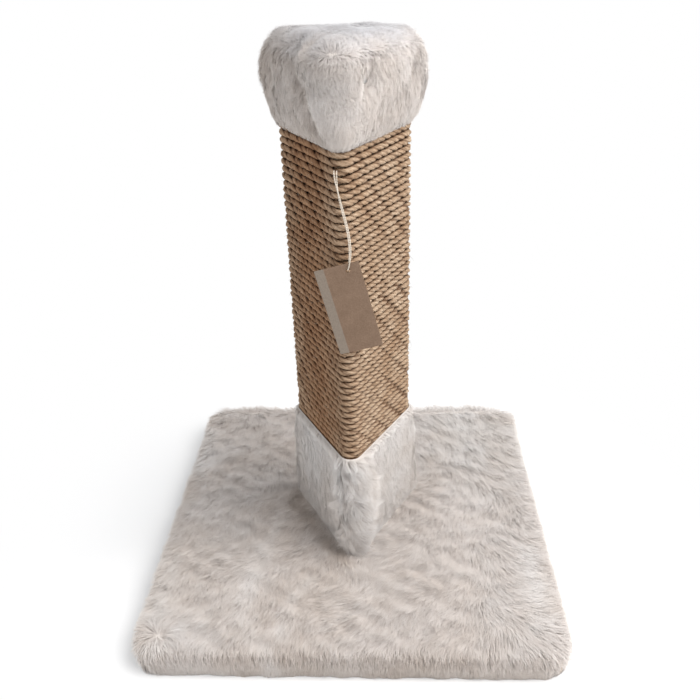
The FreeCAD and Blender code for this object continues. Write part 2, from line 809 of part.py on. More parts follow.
def make_tag_card():
    body = new_body("tag_card")
    sides = [(0.0, "sizes.card_wide / 2 - sizes.hole_side"), (90.0, "sizes.hole_drop"),
             (180.0, "sizes.card_wide / 2 + sizes.hole_side"),
             (270.0, "sizes.card_tall - sizes.hole_drop")]
    sketch = outline_sketch(body, "card_outline", sides, "sizes.card_corner")
    blank = pad(body, "card_thickness", sketch, "sizes.card_thick")
    doc.recompute()
    blank_volume = blank.Shape.Volume
    hole = body.newObject("Sketcher::SketchObject", "hole_circle")
    hole.AttachmentSupport = (body_plane(body, "XY_Plane"), [""])
    hole.MapMode = "FlatFace"
    hole.addGeometry(Part.Circle(Vector(0, 0, 0), Vector(0, 0, 1), size("card_hole") / 2), False)
    hole.addConstraint(Sketcher.Constraint("Coincident", 0, 3, -1, 1))
    index = hole.addConstraint(Sketcher.Constraint("Diameter", 0, size("card_hole")))
    hole.renameConstraint(index, "hole_size")
    hole.setExpression("Constraints.hole_size", "sizes.card_hole")
    punched = pocket_up(body, "card_punch", hole, "sizes.card_thick")
    doc.recompute()
    if not punched.Shape.Volume < blank_volume:
        raise RuntimeError("the card's hole did not cut")
    # The upper rim of the hole rests on the twine, halfway between the two strands.
    across, _, level = LOW_FRONT
    drop = (size("card_hole") - size("string_size")) / 2 - size("soft_gap")
    back = (LOW_FRONT[1] + LOW_BACK[1]) / 2 + size("card_thick") / 2
    upright = Rotation(Vector(1, 0, 0), 90)
    tilted = Rotation(Vector(0, -1, 0), card_tilt())
    body.Placement = Placement(Vector(across, back, level - drop), tilted.multiply(upright))
    return body


def fillet_path(points, share=0.45):
    """Straight runs joined by arcs as large as the runs allow, and the arcs' radii."""
    edges, radii = [], []
    start = points[0]
    for before, corner, after in zip(points, points[1:], points[2:]):
        arriving, leaving = corner - before, after - corner
        cut_back = share * min(arriving.Length, leaving.Length)
        arriving.normalize()
        leaving.normalize()
        turn = arriving.getAngle(leaving)
        radius = cut_back / math.tan(turn / 2)
        radii.append(radius)
        arc_start = corner - arriving * cut_back
        arc_end = corner + leaving * cut_back
        inward = (leaving - arriving).normalize()
        middle = corner + inward * (radius / math.cos(turn / 2) - radius)
        edges.append(Part.LineSegment(start, arc_start).toShape())
        edges.append(Part.Arc(arc_start, middle, arc_end).toShape())
        start = arc_end
    edges.append(Part.LineSegment(start, points[-1]).toShape())
    return Part.Wire(edges), radii


def make_tag_string():
    path, radii = fillet_path([Vector(*point) for point in STRING_ROUTE])
    print("tag_string: radii", " ".join(f"{radius:.1f}" for radius in radii))
    first = path.Edges[0]
    section = closed_polygon(tube_section(first.valueAt(first.FirstParameter),
                                          first.tangentAt(first.FirstParameter), size("string_size")))
    sweep = Part.BRepOffsetAPI.MakePipeShell(path)
    sweep.add(section)
    sweep.build()
    sweep.makeSolid()
    solid = sweep.shape()
    report_tube("tag_string", solid, Part.Face(section).Area, path.Length)
    return new_feature("tag_string", solid)


# ---------------------------------------------------------------- the whole post
side_nails = make_side_nails()
post_screws = make_post_screws()
hem_staples = make_hem_staples()
collar_staples = make_collar_staples()
rope_nails = make_rope_nails()
cap_tacks = make_cap_tacks()

nodes = [
    make_base_board([hem_staples, post_screws]),
    make_base_fur([hem_staples]),
    make_base_lining(),
    hem_staples,
    make_post_side("post_side_back", "back", [side_nails, rope_nails, collar_staples, cap_tacks]),
    make_post_side("post_side_left", "left", [side_nails, cap_tacks]),
    make_post_side("post_side_right", "right", [side_nails, cap_tacks]),
    make_block("post_foot_block", "sizes.foot_block_tall", "sizes.lining_thick + sizes.board_thick",
               [side_nails, post_screws]),
    make_block("post_head_block", "sizes.head_block_tall",
               "sizes.lining_thick + sizes.board_thick + sizes.core_length - sizes.head_block_tall",
               [side_nails]),
    side_nails,
    post_screws,
    make_rope("rope_lower", rope_low(), rope_turns()[0], [rope_nails]),
    make_rope("rope_upper", rope_middle(), rope_turns()[1], [rope_nails]),
    rope_nails,
    make_collar_fur([collar_staples]),
    collar_staples,
    make_cap_pad([cap_tacks]),
    make_cap_fur([cap_tacks]),
    cap_tacks,
    make_tag_card(),
    make_tag_string(),
]
doc.recompute()

for item in doc.Objects:
    if {"Invalid", "Error"} & set(item.State):
        raise RuntimeError(f"{item.Name} failed: {item.State}")
for node in nodes:
    if node.Shape.isNull() or not node.Shape.isValid():
        raise RuntimeError(f"{node.Label} has no valid shape")

os.makedirs("parts", exist_ok=True)
for node in nodes:
    node.Shape.exportStep(f"parts/{node.Label}.step")
    solids = node.Shape.Solids
    print(f"{node.Label}: {len(solids)} solid(s), {sum(solid.Volume for solid in solids) / 1000:.2f} cm3")
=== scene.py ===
"""Looks of the cat scratching post: plush, sisal rope, card and twine round the fixed parts.

Metres, +Z up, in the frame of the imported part.
"""

import math
from dataclasses import dataclass
from typing import Callable

import bmesh
import bpy
import numpy as np
from mathutils import Matrix, Vector, kdtree


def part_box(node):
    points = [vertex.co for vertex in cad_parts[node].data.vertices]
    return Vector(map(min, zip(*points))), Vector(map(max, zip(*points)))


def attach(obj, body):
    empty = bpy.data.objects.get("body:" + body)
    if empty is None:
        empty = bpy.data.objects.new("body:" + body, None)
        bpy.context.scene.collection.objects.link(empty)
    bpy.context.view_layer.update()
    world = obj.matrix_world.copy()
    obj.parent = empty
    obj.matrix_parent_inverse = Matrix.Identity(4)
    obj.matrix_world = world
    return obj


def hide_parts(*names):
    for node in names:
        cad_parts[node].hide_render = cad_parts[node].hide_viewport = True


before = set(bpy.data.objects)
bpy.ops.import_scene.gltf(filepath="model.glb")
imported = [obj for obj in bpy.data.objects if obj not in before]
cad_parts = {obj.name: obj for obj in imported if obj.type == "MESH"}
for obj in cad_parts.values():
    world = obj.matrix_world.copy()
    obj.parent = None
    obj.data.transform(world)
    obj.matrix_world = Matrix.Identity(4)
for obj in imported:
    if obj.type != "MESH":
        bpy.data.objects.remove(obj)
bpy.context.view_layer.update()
MM = 0.001
UP = np.array([0.0, 0.0, 1.0])
THIRD_TURN = 2 * math.pi / 3
FACES = [math.pi / 2 + THIRD_TURN * face for face in range(3)]     # which way the post's faces look
WHITE = (1.0, 1.0, 1.0)


# ---- places taken from the frame
def low(node):
    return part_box(node)[0]


def high(node):
    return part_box(node)[1]


BOARD_TOP = high("base_board").z
COVER_HALF = high("base_fur").x
COVER_TOP = high("base_fur").z
CORE_INRADIUS = high("post_side_back").y
COLLAR_TOP = high("collar_fur").z
CAP_LOW, CAP_TOP = low("cap_fur").z, high("cap_fur").z
ROPE_LOW, ROPE_HIGH = low("rope_lower").z, high("rope_upper").z
ROPE_MIDDLE = low("rope_upper").z

# The rope, as it lies on the post.
ROPE_TURNS = 47
ROPE_PITCH = (ROPE_HIGH - ROPE_LOW) / (ROPE_TURNS + 1)
ROPE_HALF = ROPE_PITCH / 2
ROPE_CORNER = 4.3 * MM + ROPE_HALF       # radius of its axis round a corner of the post
ROPE_AXIS = CORE_INRADIUS + ROPE_HALF + 0.1 * MM
ROPE_OUTSIDE = ROPE_AXIS + ROPE_HALF
COLLAR_OUTSIDE = high("collar_fur").y


# ---- materials
def new_material(name):
    material = bpy.data.materials.new(name)
    material.use_nodes = True
    tree = material.node_tree
    return material, tree, tree.nodes["Principled BSDF"]


def set_inputs(made, values):
    """values names a node's sockets, with spaces as _."""
    for key, value in values.items():
        made.inputs[key.replace("_", " ")].default_value = value


def node(tree, kind, options=None, **values):
    """A shader node; options are its properties and values its input sockets."""
    made = tree.nodes.new(kind)
    for key, value in (options or {}).items():
        setattr(made, key, value)
    set_inputs(made, values)
    return made


def object_place(tree):
    return node(tree, "ShaderNodeTexCoord").outputs["Object"]


def attribute(tree, name):
    return node(tree, "ShaderNodeAttribute", {"attribute_name": name}).outputs["Fac"]


def ramp(tree, source, *stops):
    """A colour ramp through (position, colour) stops, fed by a socket."""
    made = tree.nodes.new("ShaderNodeValToRGB")
    elements = made.color_ramp.elements
    while len(elements) < len(stops):
        elements.new(0.5)
    for element, (position, colour) in zip(elements, stops):
        element.position = position
        element.color = (*colour, 1.0)
    tree.links.new(source, made.inputs[0])
    return made.outputs[0]


def mixed(tree, kind, factor, first, second):
    """Two sockets' colours mixed; factor is a number or a socket."""
    made = node(tree, "ShaderNodeMix", {"data_type": "RGBA", "blend_type": kind})
    if isinstance(factor, bpy.types.NodeSocket):
        tree.links.new(factor, made.inputs[0])
    else:
        made.inputs[0].default_value = factor
    tree.links.new(first, made.inputs[6])
    tree.links.new(second, made.inputs[7])
    return made.outputs[2]


def times(tree, colour, *others):
    for other in others:
        colour = mixed(tree, "MULTIPLY", 1.0, colour, other)
    return colour


def noise(tree, scale, detail=3.0, roughness=0.55, vector=None, squeeze=None):
    """Noise on object coordinates, or on another vector, squeezed by a scale of each axis."""
    made = node(tree, "ShaderNodeTexNoise", Scale=scale, Detail=detail, Roughness=roughness)
    vector = vector or object_place(tree)
    if squeeze:
        mapping = node(tree, "ShaderNodeMapping", Scale=squeeze)
        tree.links.new(vector, mapping.inputs["Vector"])
        vector = mapping.outputs["Vector"]
    tree.links.new(vector, made.inputs["Vector"])
    return made.outputs["Fac"]


def bump(tree, shader, height, strength, distance):
    made = node(tree, "ShaderNodeBump", Strength=strength, Distance=distance)
    tree.links.new(height, made.inputs["Height"])
    tree.links.new(made.outputs["Normal"], shader.inputs["Normal"])


def set_shader(tree, shader, colour, roughness, **values):
    tree.links.new(colour, shader.inputs["Base Color"])
    set_inputs(shader, {"Roughness": roughness, **values})


def plush_material():
    """Silky synthetic fur: each hair has its own tone and is paler towards its tip. The tone also carries
    painted light and shade, and a further attribute paints a bluish shade on the cap's top.
    """
    material, tree, shader = new_material("plush_pile")
    along = ramp(tree, attribute(tree, "along"),
                 (0.0, (0.66, 0.61, 0.575)), (0.5, (0.77, 0.73, 0.70)), (1.0, (0.84, 0.81, 0.785)))
    tone = ramp(tree, attribute(tree, "tone"),
                (0.0, (0.74, 0.69, 0.65)), (0.2, (0.87, 0.835, 0.81)), (0.45, (0.95, 0.935, 0.925)),
                (0.67, WHITE), (1.0, (1.04, 1.06, 1.075)))
    patches = ramp(tree, noise(tree, 14.0, 2.0), (0.38, (0.945, 0.92, 0.895)), (0.62, WHITE))
    # Painted shade: the cap's top is made darker and bluer.
    painted_cool_shade = ramp(tree, attribute(tree, "painted_cool_shade"), (0.0, WHITE), (1.0, (0.80, 0.855, 0.93)))
    set_shader(tree, shader, times(tree, along, tone, patches, painted_cool_shade), 0.55,
               Specular_IOR_Level=0.3, Sheen_Weight=0.25, Sheen_Roughness=0.4)
    return material


def fibrous_material(name, grain, dark, pale, roughness, strength, depth):
    """Matted or twisted fibres: grain is their noise, dark and pale are stops of its ramp."""
    material, tree, shader = new_material(name)
    fibres = noise(tree, *grain)
    set_shader(tree, shader, ramp(tree, fibres, dark, pale), roughness)
    bump(tree, shader, fibres, strength, depth)
    return material


def sisal_material():
    """Sisal: fine pale fibres that run along each strand, with darker and redder stretches, painted shade in
    the hollows between strands, and a darker, redder painted shade on the post's left face.
    """
    material, tree, shader = new_material("sisal_strand")
    uv = node(tree, "ShaderNodeUVMap", {"uv_map": "strand"}).outputs["UV"]
    fibres = noise(tree, 1.0, 3.0, 0.6, uv, (0.16, 9.0, 1.0))
    colour = ramp(tree, fibres, (0.28, (0.225, 0.146, 0.092)), (0.5, (0.445, 0.325, 0.222)),
                  (0.74, (0.655, 0.525, 0.390)))
    stretches = ramp(tree, noise(tree, 34.0, 3.0), (0.34, (0.76, 0.68, 0.61)), (0.66, WHITE))
    # Painted shade: darker in the hollows between strands and on their side against the post.
    lit_crest = ramp(tree, attribute(tree, "lit_crest"), (0.0, (0.30, 0.20, 0.14)), (0.85, WHITE))
    # Painted shade: darker and redder on the post's left face.
    painted_side_shade = ramp(tree, attribute(tree, "painted_side_shade"), (0.0, WHITE), (1.0, (0.80, 0.63, 0.51)))
    set_shader(tree, shader, times(tree, colour, stretches, lit_crest, painted_side_shade), 0.75,
               Specular_IOR_Level=0.25)
    bump(tree, shader, fibres, 0.8, 0.5 * MM)
    return material


def fibre_material():
    material, tree, shader = new_material("sisal_fibre")
    colour = ramp(tree, attribute(tree, "tone"), (0.0, (0.30, 0.21, 0.14)), (1.0, (0.56, 0.45, 0.34)))
    set_shader(tree, shader, colour, 0.7)
    return material


def wood_material(name, pale, dark, along):
    """Sawn softwood: stretched growth rings along one axis and fine pores."""
    material, tree, shader = new_material(name)
    squeeze = [1.0, 1.0, 1.0]
    squeeze[along] = 0.06
    rings = noise(tree, 95.0, 4.0, 0.6, squeeze=squeeze)
    colour = ramp(tree, rings, (0.32, dark), (0.5, pale), (0.68, dark))
    pores = noise(tree, 700.0, 2.0, 0.6, squeeze=squeeze)
    speckle = ramp(tree, pores, (0.3, (0.75, 0.72, 0.70)), (0.6, WHITE))
    set_shader(tree, shader, times(tree, colour, speckle), 0.72)
    bump(tree, shader, pores, 0.3, 0.4 * MM)
    return material


def steel_material():
    material, tree, shader = new_material("plated_steel")
    scratches = noise(tree, 1500.0, 3.0, squeeze=(1.0, 1.0, 0.1))
    colour = ramp(tree, scratches, (0.3, (0.52, 0.51, 0.49)), (0.7, (0.70, 0.69, 0.67)))
    set_shader(tree, shader, colour, 0.4, Metallic=1.0)
    tree.links.new(ramp(tree, scratches, (0.3, (0.28,) * 3), (0.7, (0.45,) * 3)),
                   shader.inputs["Roughness"])
    return material


def foam_material():
    material, tree, shader = new_material("open_foam")
    cells = node(tree, "ShaderNodeTexVoronoi", Scale=900.0)
    tree.links.new(object_place(tree), cells.inputs["Vector"])
    depth = cells.outputs["Distance"]
    set_shader(tree, shader, ramp(tree, depth, (0.0, (0.46, 0.42, 0.30)), (0.5, (0.80, 0.76, 0.62))), 0.9)
    bump(tree, shader, depth, 0.6, 0.6 * MM)
    return material


CARD_TILT = math.radians(14.04)
CARD_BAND = 9.5 * MM                       # a paler band along one long edge of the card
BAND_EDGE = 0.3 * MM                       # half of where the band fades


def card_material():
    """Uncoated kraft card: flecks and clouds of fibre, and a paler band along one long edge."""
    material, tree, shader = new_material("kraft_card")
    flecks = noise(tree, 1500.0, 4.0, 0.7)
    kraft = ramp(tree, flecks, (0.25, (0.137, 0.086, 0.056)), (0.5, (0.234, 0.156, 0.108)),
                 (0.75, (0.325, 0.230, 0.165)))
    kraft = times(tree, kraft, ramp(tree, noise(tree, 90.0, 3.0), (0.3, (0.88, 0.87, 0.86)), (0.7, WHITE)))
    place = node(tree, "ShaderNodeMapping", Rotation=(0.0, CARD_TILT, 0.0))
    tree.links.new(object_place(tree), place.inputs["Vector"])
    across = node(tree, "ShaderNodeSeparateXYZ")
    tree.links.new(place.outputs["Vector"], across.inputs["Vector"])
    band_end = card_left_edge() + CARD_BAND
    band = node(tree, "ShaderNodeMapRange", From_Min=band_end - BAND_EDGE, From_Max=band_end + BAND_EDGE,
                To_Min=1.0, To_Max=0.0)
    tree.links.new(across.outputs["X"], band.inputs["Value"])
    pale = ramp(tree, flecks, (0.25, (0.17, 0.135, 0.105)), (0.75, (0.33, 0.275, 0.225)))
    set_shader(tree, shader, mixed(tree, "MIX", band.outputs["Result"], kraft, pale), 0.85,
               Specular_IOR_Level=0.2)
    bump(tree, shader, flecks, 0.35, 0.15 * MM)
    return material


def card_left_edge():
    """The card's long edge on the -X side, in coordinates turned upright by its tilt."""
    turn = Matrix.Rotation(CARD_TILT, 3, "Y")
    return min((turn @ vertex.co).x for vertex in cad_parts["tag_card"].data.vertices)


# ---- meshes from arrays
def mesh_object(name, points, faces, material):
    """A smooth mesh; faces is one array of corners for each polygon size."""
    mesh = bpy.data.meshes.new(name)
    mesh.vertices.add(len(points))
    mesh.vertices.foreach_set("co", np.asarray(points, np.float32).ravel())
    corners = np.concatenate([group.ravel() for group in faces])
    sizes = np.concatenate([np.full(len(group), group.shape[1]) for group in faces])
    mesh.loops.add(len(corners))
    mesh.loops.foreach_set("vertex_index", corners.astype(np.int32))
    mesh.polygons.add(len(sizes))
    starts = np.concatenate([[0], np.cumsum(sizes)[:-1]])
    mesh.polygons.foreach_set("loop_start", starts.astype(np.int32))
    mesh.update(calc_edges=True)
    mesh.polygons.foreach_set("use_smooth", np.ones(len(sizes), bool))
    mesh.materials.append(material)
    made = bpy.data.objects.new(name, mesh)
    bpy.context.scene.collection.objects.link(made)
    return made


def point_values(piece, name, values):
    layer = piece.data.attributes.new(name, "FLOAT", "POINT")
    layer.data.foreach_set("value", np.asarray(values, np.float32).ravel())


def corner_uv(piece, name, uv):
    layer = piece.data.uv_layers.new(name=name)
    layer.data.foreach_set("uv", np.asarray(uv, np.float32).ravel())


def read(items, key, width, kind=float):
    """A property of mesh items, as an array with a row for each."""
    values = np.empty(len(items) * width, kind)
    items.foreach_get(key, values)
    return values.reshape(-1, width)


def flip_outwards(piece):
    """Turns the faces so that the mesh's normals point outwards."""
    made = bmesh.new()
    made.from_mesh(piece.data)
    bmesh.ops.recalc_face_normals(made, faces=made.faces)
    made.to_mesh(piece.data)
    made.free()


def polygon_centres(piece):
    return np.array([polygon.center for polygon in piece.data.polygons])


def ring_faces(rings, around):
    """Quads between consecutive closed rings of points."""
    index = np.arange(rings * around).reshape(rings, around)
    after = np.roll(index, -1, axis=1)
    return np.stack([index[:-1], after[:-1], after[1:], index[1:]], axis=-1).reshape(-1, 4)


def tube_rings(centre, half, first, second, sides):
    """Rings of points round a line, from two directions square to it."""
    turns = [2 * math.pi * side / sides for side in range(sides)]
    return np.stack([centre + half * (first * math.cos(turn) + second * math.sin(turn))
                     for turn in turns], axis=1)


def tube_faces(strands, samples, sides):
    """Faces of a few tubes, one after another: the quads round them, and both ends of each."""
    first = np.arange(sides)
    ends = np.array([first[::-1], first + (samples - 1) * sides])
    starts = np.arange(strands)[:, None, None] * samples * sides
    return [(ring_faces(samples, sides) + starts).reshape(-1, 4), (ends + starts).reshape(-1, sides)]


def unit(vectors):
    return vectors / np.maximum(np.linalg.norm(vectors, axis=-1, keepdims=True), 1e-12)


def smooth_step(value, start, end):
    share = np.clip((value - start) / (end - start), 0.0, 1.0)
    return share * share * (3 - 2 * share)


def hump(distance, width):
    """1 at no distance, and soon nothing past the width."""
    return np.exp(-(distance / width) ** 2)


class Waves:
    """A smooth random field: cosines of random directions at about one wavelength."""

    def __init__(self, seed, wavelength, count=9):
        draw = np.random.default_rng(seed)
        spread = draw.uniform(0.7, 1.5, (count, 1))
        self.waves = unit(draw.normal(size=(count, 3))) * 2 * math.pi / wavelength * spread
        self.phases = draw.uniform(0, 2 * math.pi, count)

    def __call__(self, points):
        return np.cos(points @ self.waves.T + self.phases).sum(axis=1) * math.sqrt(2 / len(self.phases))


# ---- the post's outline
def round_triangle(distance, inradius, corner):
    """Points and outward directions on a rounded triangle, at distances along its outline.

    Distances start at the middle of the back face and run counter-clockwise.
    """
    side = 2 * math.sqrt(3) * (inradius - corner)
    third = side + corner * THIRD_TURN
    part, local = np.divmod(np.asarray(distance, float) + side / 2, third)
    face = math.pi / 2 + THIRD_TURN * part
    turn = np.clip(local - side, 0.0, None) / corner
    along = np.minimum(local, side) - side / 2
    out = np.stack([np.cos(face + turn), np.sin(face + turn)], axis=-1)
    normal = np.stack([np.cos(face), np.sin(face)], axis=-1)
    across = np.stack([-normal[..., 1], normal[..., 0]], axis=-1)
    straight = normal * inradius + across * along[..., None]
    bisector = face + THIRD_TURN / 2
    centre = 2 * (inradius - corner) * np.stack([np.cos(bisector), np.sin(bisector)], axis=-1)
    curved = centre + corner * out
    return np.where((local > side)[..., None], curved, straight), out


def triangle_length(inradius, corner):
    return 3 * (2 * math.sqrt(3) * (inradius - corner) + corner * THIRD_TURN)


def triangle_rings(profile, around):
    """Rings of points through (level, inradius, corner) sections."""
    rings = []
    for level, inradius, corner in profile:
        distances = np.arange(around) / around * triangle_length(inradius, corner)
        flat, _ = round_triangle(distances, inradius, corner)
        rings.append(np.column_stack([flat, np.full(around, level)]))
    return np.array(rings)


# ---- camera, light and floor
CAMERA_PLACE = (0.0405, -0.7644, 0.6907)
CAMERA_PITCH, CAMERA_ROLL, CAMERA_YAW = (math.radians(turn) for turn in (29.07, -1.88, 3.07))
CAMERA_LENS = 39.36
# (name, azimuth, elevation, distance, size, power, colour); azimuth 0 is -Y and 90 is +X.
LAMPS = (("key", 72, 52, 2.2, 2.0, 66, (1.0, 0.985, 0.975)),
         ("fill", -55, 34, 2.6, 1.8, 14, (0.98, 0.985, 1.0)))
LAMPS_AIM = Vector((0, 0, 0.3))
SKY_COLOUR, SKY_STRENGTH = (0.96, 0.98, 1.0, 1.0), 0.52
SHADOW_FADES = (0.25, 0.47)                # distances from the origin where the floor turns white


def make_camera():
    camera = bpy.data.objects.new("camera", bpy.data.cameras.new("camera"))
    bpy.context.scene.collection.objects.link(camera)
    camera.data.lens = CAMERA_LENS
    camera.data.sensor_width = 36.0
    camera.data.clip_start = 0.01
    turn = (Matrix.Rotation(CAMERA_YAW, 4, "Z") @ Matrix.Rotation(math.pi / 2 - CAMERA_PITCH, 4, "X")
            @ Matrix.Rotation(CAMERA_ROLL, 4, "Z"))
    camera.matrix_world = Matrix.Translation(CAMERA_PLACE) @ turn
    bpy.context.scene.camera = camera


def make_lamp(name, azimuth, elevation, distance, size, power, colour):
    """A round area lamp aimed at the post."""
    data = bpy.data.lights.new(name, "AREA")
    data.shape = "DISK"
    data.size = size
    data.energy = power
    data.color = colour
    turn, rise = math.radians(azimuth), math.radians(elevation)
    away = Vector((math.sin(turn) * math.cos(rise), -math.cos(turn) * math.cos(rise), math.sin(rise)))
    lamp = bpy.data.objects.new(name, data)
    bpy.context.scene.collection.objects.link(lamp)
    lamp.location = LAMPS_AIM + away * distance
    lamp.rotation_euler = (-away).to_track_quat("-Z", "Y").to_euler()


def mix_shaders(tree, share, first, second, output):
    made = tree.nodes.new("ShaderNodeMixShader")
    for socket, source in zip(made.inputs, (share, first, second)):
        tree.links.new(source, socket)
    tree.links.new(made.outputs[0], tree.nodes[output].inputs["Surface"])


def camera_ray(tree):
    return node(tree, "ShaderNodeLightPath").outputs["Is Camera Ray"]


def make_world():
    """Soft light from all round, which the camera sees as plain white."""
    world = bpy.data.worlds.new("studio")
    world.use_nodes = True
    tree = world.node_tree
    soft = tree.nodes["Background"]
    set_inputs(soft, {"Color": SKY_COLOUR, "Strength": SKY_STRENGTH})
    plain = node(tree, "ShaderNodeBackground", Color=(*WHITE, 1.0), Strength=1.0)
    mix_shaders(tree, camera_ray(tree), soft.outputs[0], plain.outputs[0], "World Output")
    bpy.context.scene.world = world


def make_floor():
    """A pale floor that holds the soft shadow near the post and turns plain white further out."""
    material, tree, shader = new_material("studio_floor")
    set_inputs(shader, {"Base Color": (0.93, 0.93, 0.93, 1.0), "Roughness": 0.9, "Specular IOR Level": 0.1})
    length = node(tree, "ShaderNodeVectorMath", {"operation": "LENGTH"})
    tree.links.new(object_place(tree), length.inputs[0])
    far = node(tree, "ShaderNodeMapRange", {"interpolation_type": "SMOOTHSTEP"},
               From_Min=SHADOW_FADES[0], From_Max=SHADOW_FADES[1])
    tree.links.new(length.outputs["Value"], far.inputs["Value"])
    seen = node(tree, "ShaderNodeMath", {"operation": "MULTIPLY"})
    tree.links.new(far.outputs["Result"], seen.inputs[0])
    tree.links.new(camera_ray(tree), seen.inputs[1])
    plain = node(tree, "ShaderNodeEmission", Color=(*WHITE, 1.0), Strength=1.0)
    mix_shaders(tree, seen.outputs[0], shader.outputs[0], plain.outputs[0], "Material Output")
    reach = 12.0
    points = [(-reach, -reach, 0), (reach, -reach, 0), (reach, reach, 0), (-reach, reach, 0)]
    floor = mesh_object("studio_floor", points, [np.array([[0, 1, 2, 3]])], material)
    floor.location.z = -0.2 * MM


# ---- fur
OWN_SHADE = 0.18           # how far a hair is lit by its own lie; the rest is by the pile's surface
TONE_LOW, TONE_OF_HAIR, TONE_OF_LOCK = 0.2, 0.35, 0.28
TONE_TOP = 1.5             # stored as 1
HAIR_TWIST = 0.7           # the most that a ribbon turns from lying flat, in radians


@dataclass
class Coat:
    """How the pile grows on a surface. Its functions take the places of the roots."""

    seed: int
    hairs: int
    length: float
    width: float
    lift: tuple                            # degrees above the surface, at the root and the tip
    flow: Callable                         # which way hairs lie, from places and normals
    lock_size: float
    lock_pull: float                       # how far hairs are drawn to the middle of their lock
    curl: float = 0.15
    fuzz: float = 0.11                     # random turns of hairs, in radians
    swing: float = 0.15                    # random turns of locks
    steps: int = 4
    gather: Callable = None                # times the pull of the locks
    stretch: Callable = None               # times the length
    loft: Callable = None                  # degrees added to the lift
    pale: Callable = None                  # added to the tone; on the base and the cap it carries painted light and shade
    painted_cool_shade: Callable = None                  # painted shade: how much bluer and darker the hairs are made, from 0 to 1
    bend_over: Callable = None             # moves whole paths, to keep them on the form


def sample_surface(piece, count, draw):
    """Random points on a mesh by area, with smooth normals."""
    mesh = piece.data
    mesh.calc_loop_triangles()
    corners = read(mesh.loop_triangles, "vertices", 3, np.int32)
    places, normals = read(mesh.vertices, "co", 3), read(mesh.vertices, "normal", 3)
    a, b, c = (places[corners[:, i]] for i in range(3))
    areas = np.linalg.norm(np.cross(b - a, c - a), axis=1)
    grows = piece.get("hair_faces")
    if grows is not None:
        owners = read(mesh.loop_triangles, "polygon_index", 1, np.int32)[:, 0]
        areas = areas * np.asarray(grows, float)[owners]
    chosen = draw.choice(len(areas), size=count, p=areas / areas.sum())
    first, second = draw.random((2, count))
    swap = first + second > 1
    first[swap], second[swap] = 1 - first[swap], 1 - second[swap]
    weights = np.stack([1 - first - second, first, second], axis=1)[..., None]
    points = (places[corners[chosen]] * weights).sum(axis=1)
    return points, unit((normals[corners[chosen]] * weights).sum(axis=1))


def hair_paths(coat, points, normals, draw, swing):
    """Centre lines of hairs, shape (hairs, steps + 1, 3)."""
    flow = coat.flow(points, normals)
    flow = unit(flow - (flow * normals).sum(axis=1, keepdims=True) * normals)
    side = np.cross(normals, flow)
    turn = swing * draw.normal(size=len(points))
    bend = coat.curl * draw.normal(size=len(points))
    length = coat.length * (1 + 0.18 * draw.normal(size=len(points)).clip(-2, 2))
    if coat.stretch is not None:
        length = length * coat.stretch(points)
    loft = np.zeros(len(points)) if coat.loft is None else np.radians(coat.loft(points))
    step = (length / coat.steps)[:, None]
    paths = [points]
    for index in range(coat.steps):
        share = index / max(coat.steps - 1, 1)
        lift = math.radians(coat.lift[0] + (coat.lift[1] - coat.lift[0]) * share ** 0.6)
        rise = (lift + loft)[:, None]
        angle = (turn + bend * share * 2)[:, None]
        lying = flow * np.cos(angle) + side * np.sin(angle)
        paths.append(paths[-1] + step * (lying * np.cos(rise) + normals * np.sin(rise)))
    return np.stack(paths, axis=1)


def grow(piece, coat, name, material, count_pieces):
    """Hairs on a piece, as tapered ribbons in count_pieces objects."""
    draw = np.random.default_rng(coat.seed)
    points, normals = sample_surface(piece, coat.hairs, draw)
    paths = hair_paths(coat, points, normals, draw, coat.fuzz)
    area = sum(polygon.area for polygon in piece.data.polygons)
    locks = int(area / coat.lock_size ** 2)
    lock_points, lock_normals = sample_surface(piece, locks, draw)
    lock_paths = hair_paths(coat, lock_points, lock_normals, draw, coat.swing)
    tree = kdtree.KDTree(locks)
    for index, place in enumerate(lock_points):
        tree.insert(place, index)
    tree.balance()
    nearest = np.array([tree.find(place)[1] for place in points])
    share = np.linspace(0, 1, coat.steps + 1)[None, :, None]
    pull = coat.lock_pull * share ** 1.3 * draw.uniform(0.5, 1.0, (coat.hairs, 1, 1))
    if coat.gather is not None:
        pull = pull * coat.gather(points)[:, None, None]
    paths = paths * (1 - pull) + lock_paths[nearest] * pull
    if coat.bend_over is not None:
        paths = coat.bend_over(paths)
    tones = TONE_LOW + draw.random(coat.hairs) * TONE_OF_HAIR + draw.random(locks)[nearest] * TONE_OF_LOCK
    if coat.pale is not None:
        tones = tones + coat.pale(points)
    twist = draw.uniform(-HAIR_TWIST, HAIR_TWIST, coat.hairs)
    order = np.argsort(np.arctan2(points[:, 1], points[:, 0]), kind="stable")
    pieces = []
    for index, members in enumerate(np.array_split(order, count_pieces)):
        made = ribbons(f"{name}_{index + 1}", coat.width, material, paths[members], normals[members],
                       twist[members], tones[members])
        if coat.painted_cool_shade is not None:
            per_hair = len(made.data.vertices) // len(members)
            point_values(made, "painted_cool_shade", np.repeat(coat.painted_cool_shade(points[members]), per_hair))
        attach(made, "post")
        pieces.append(made)
    return pieces


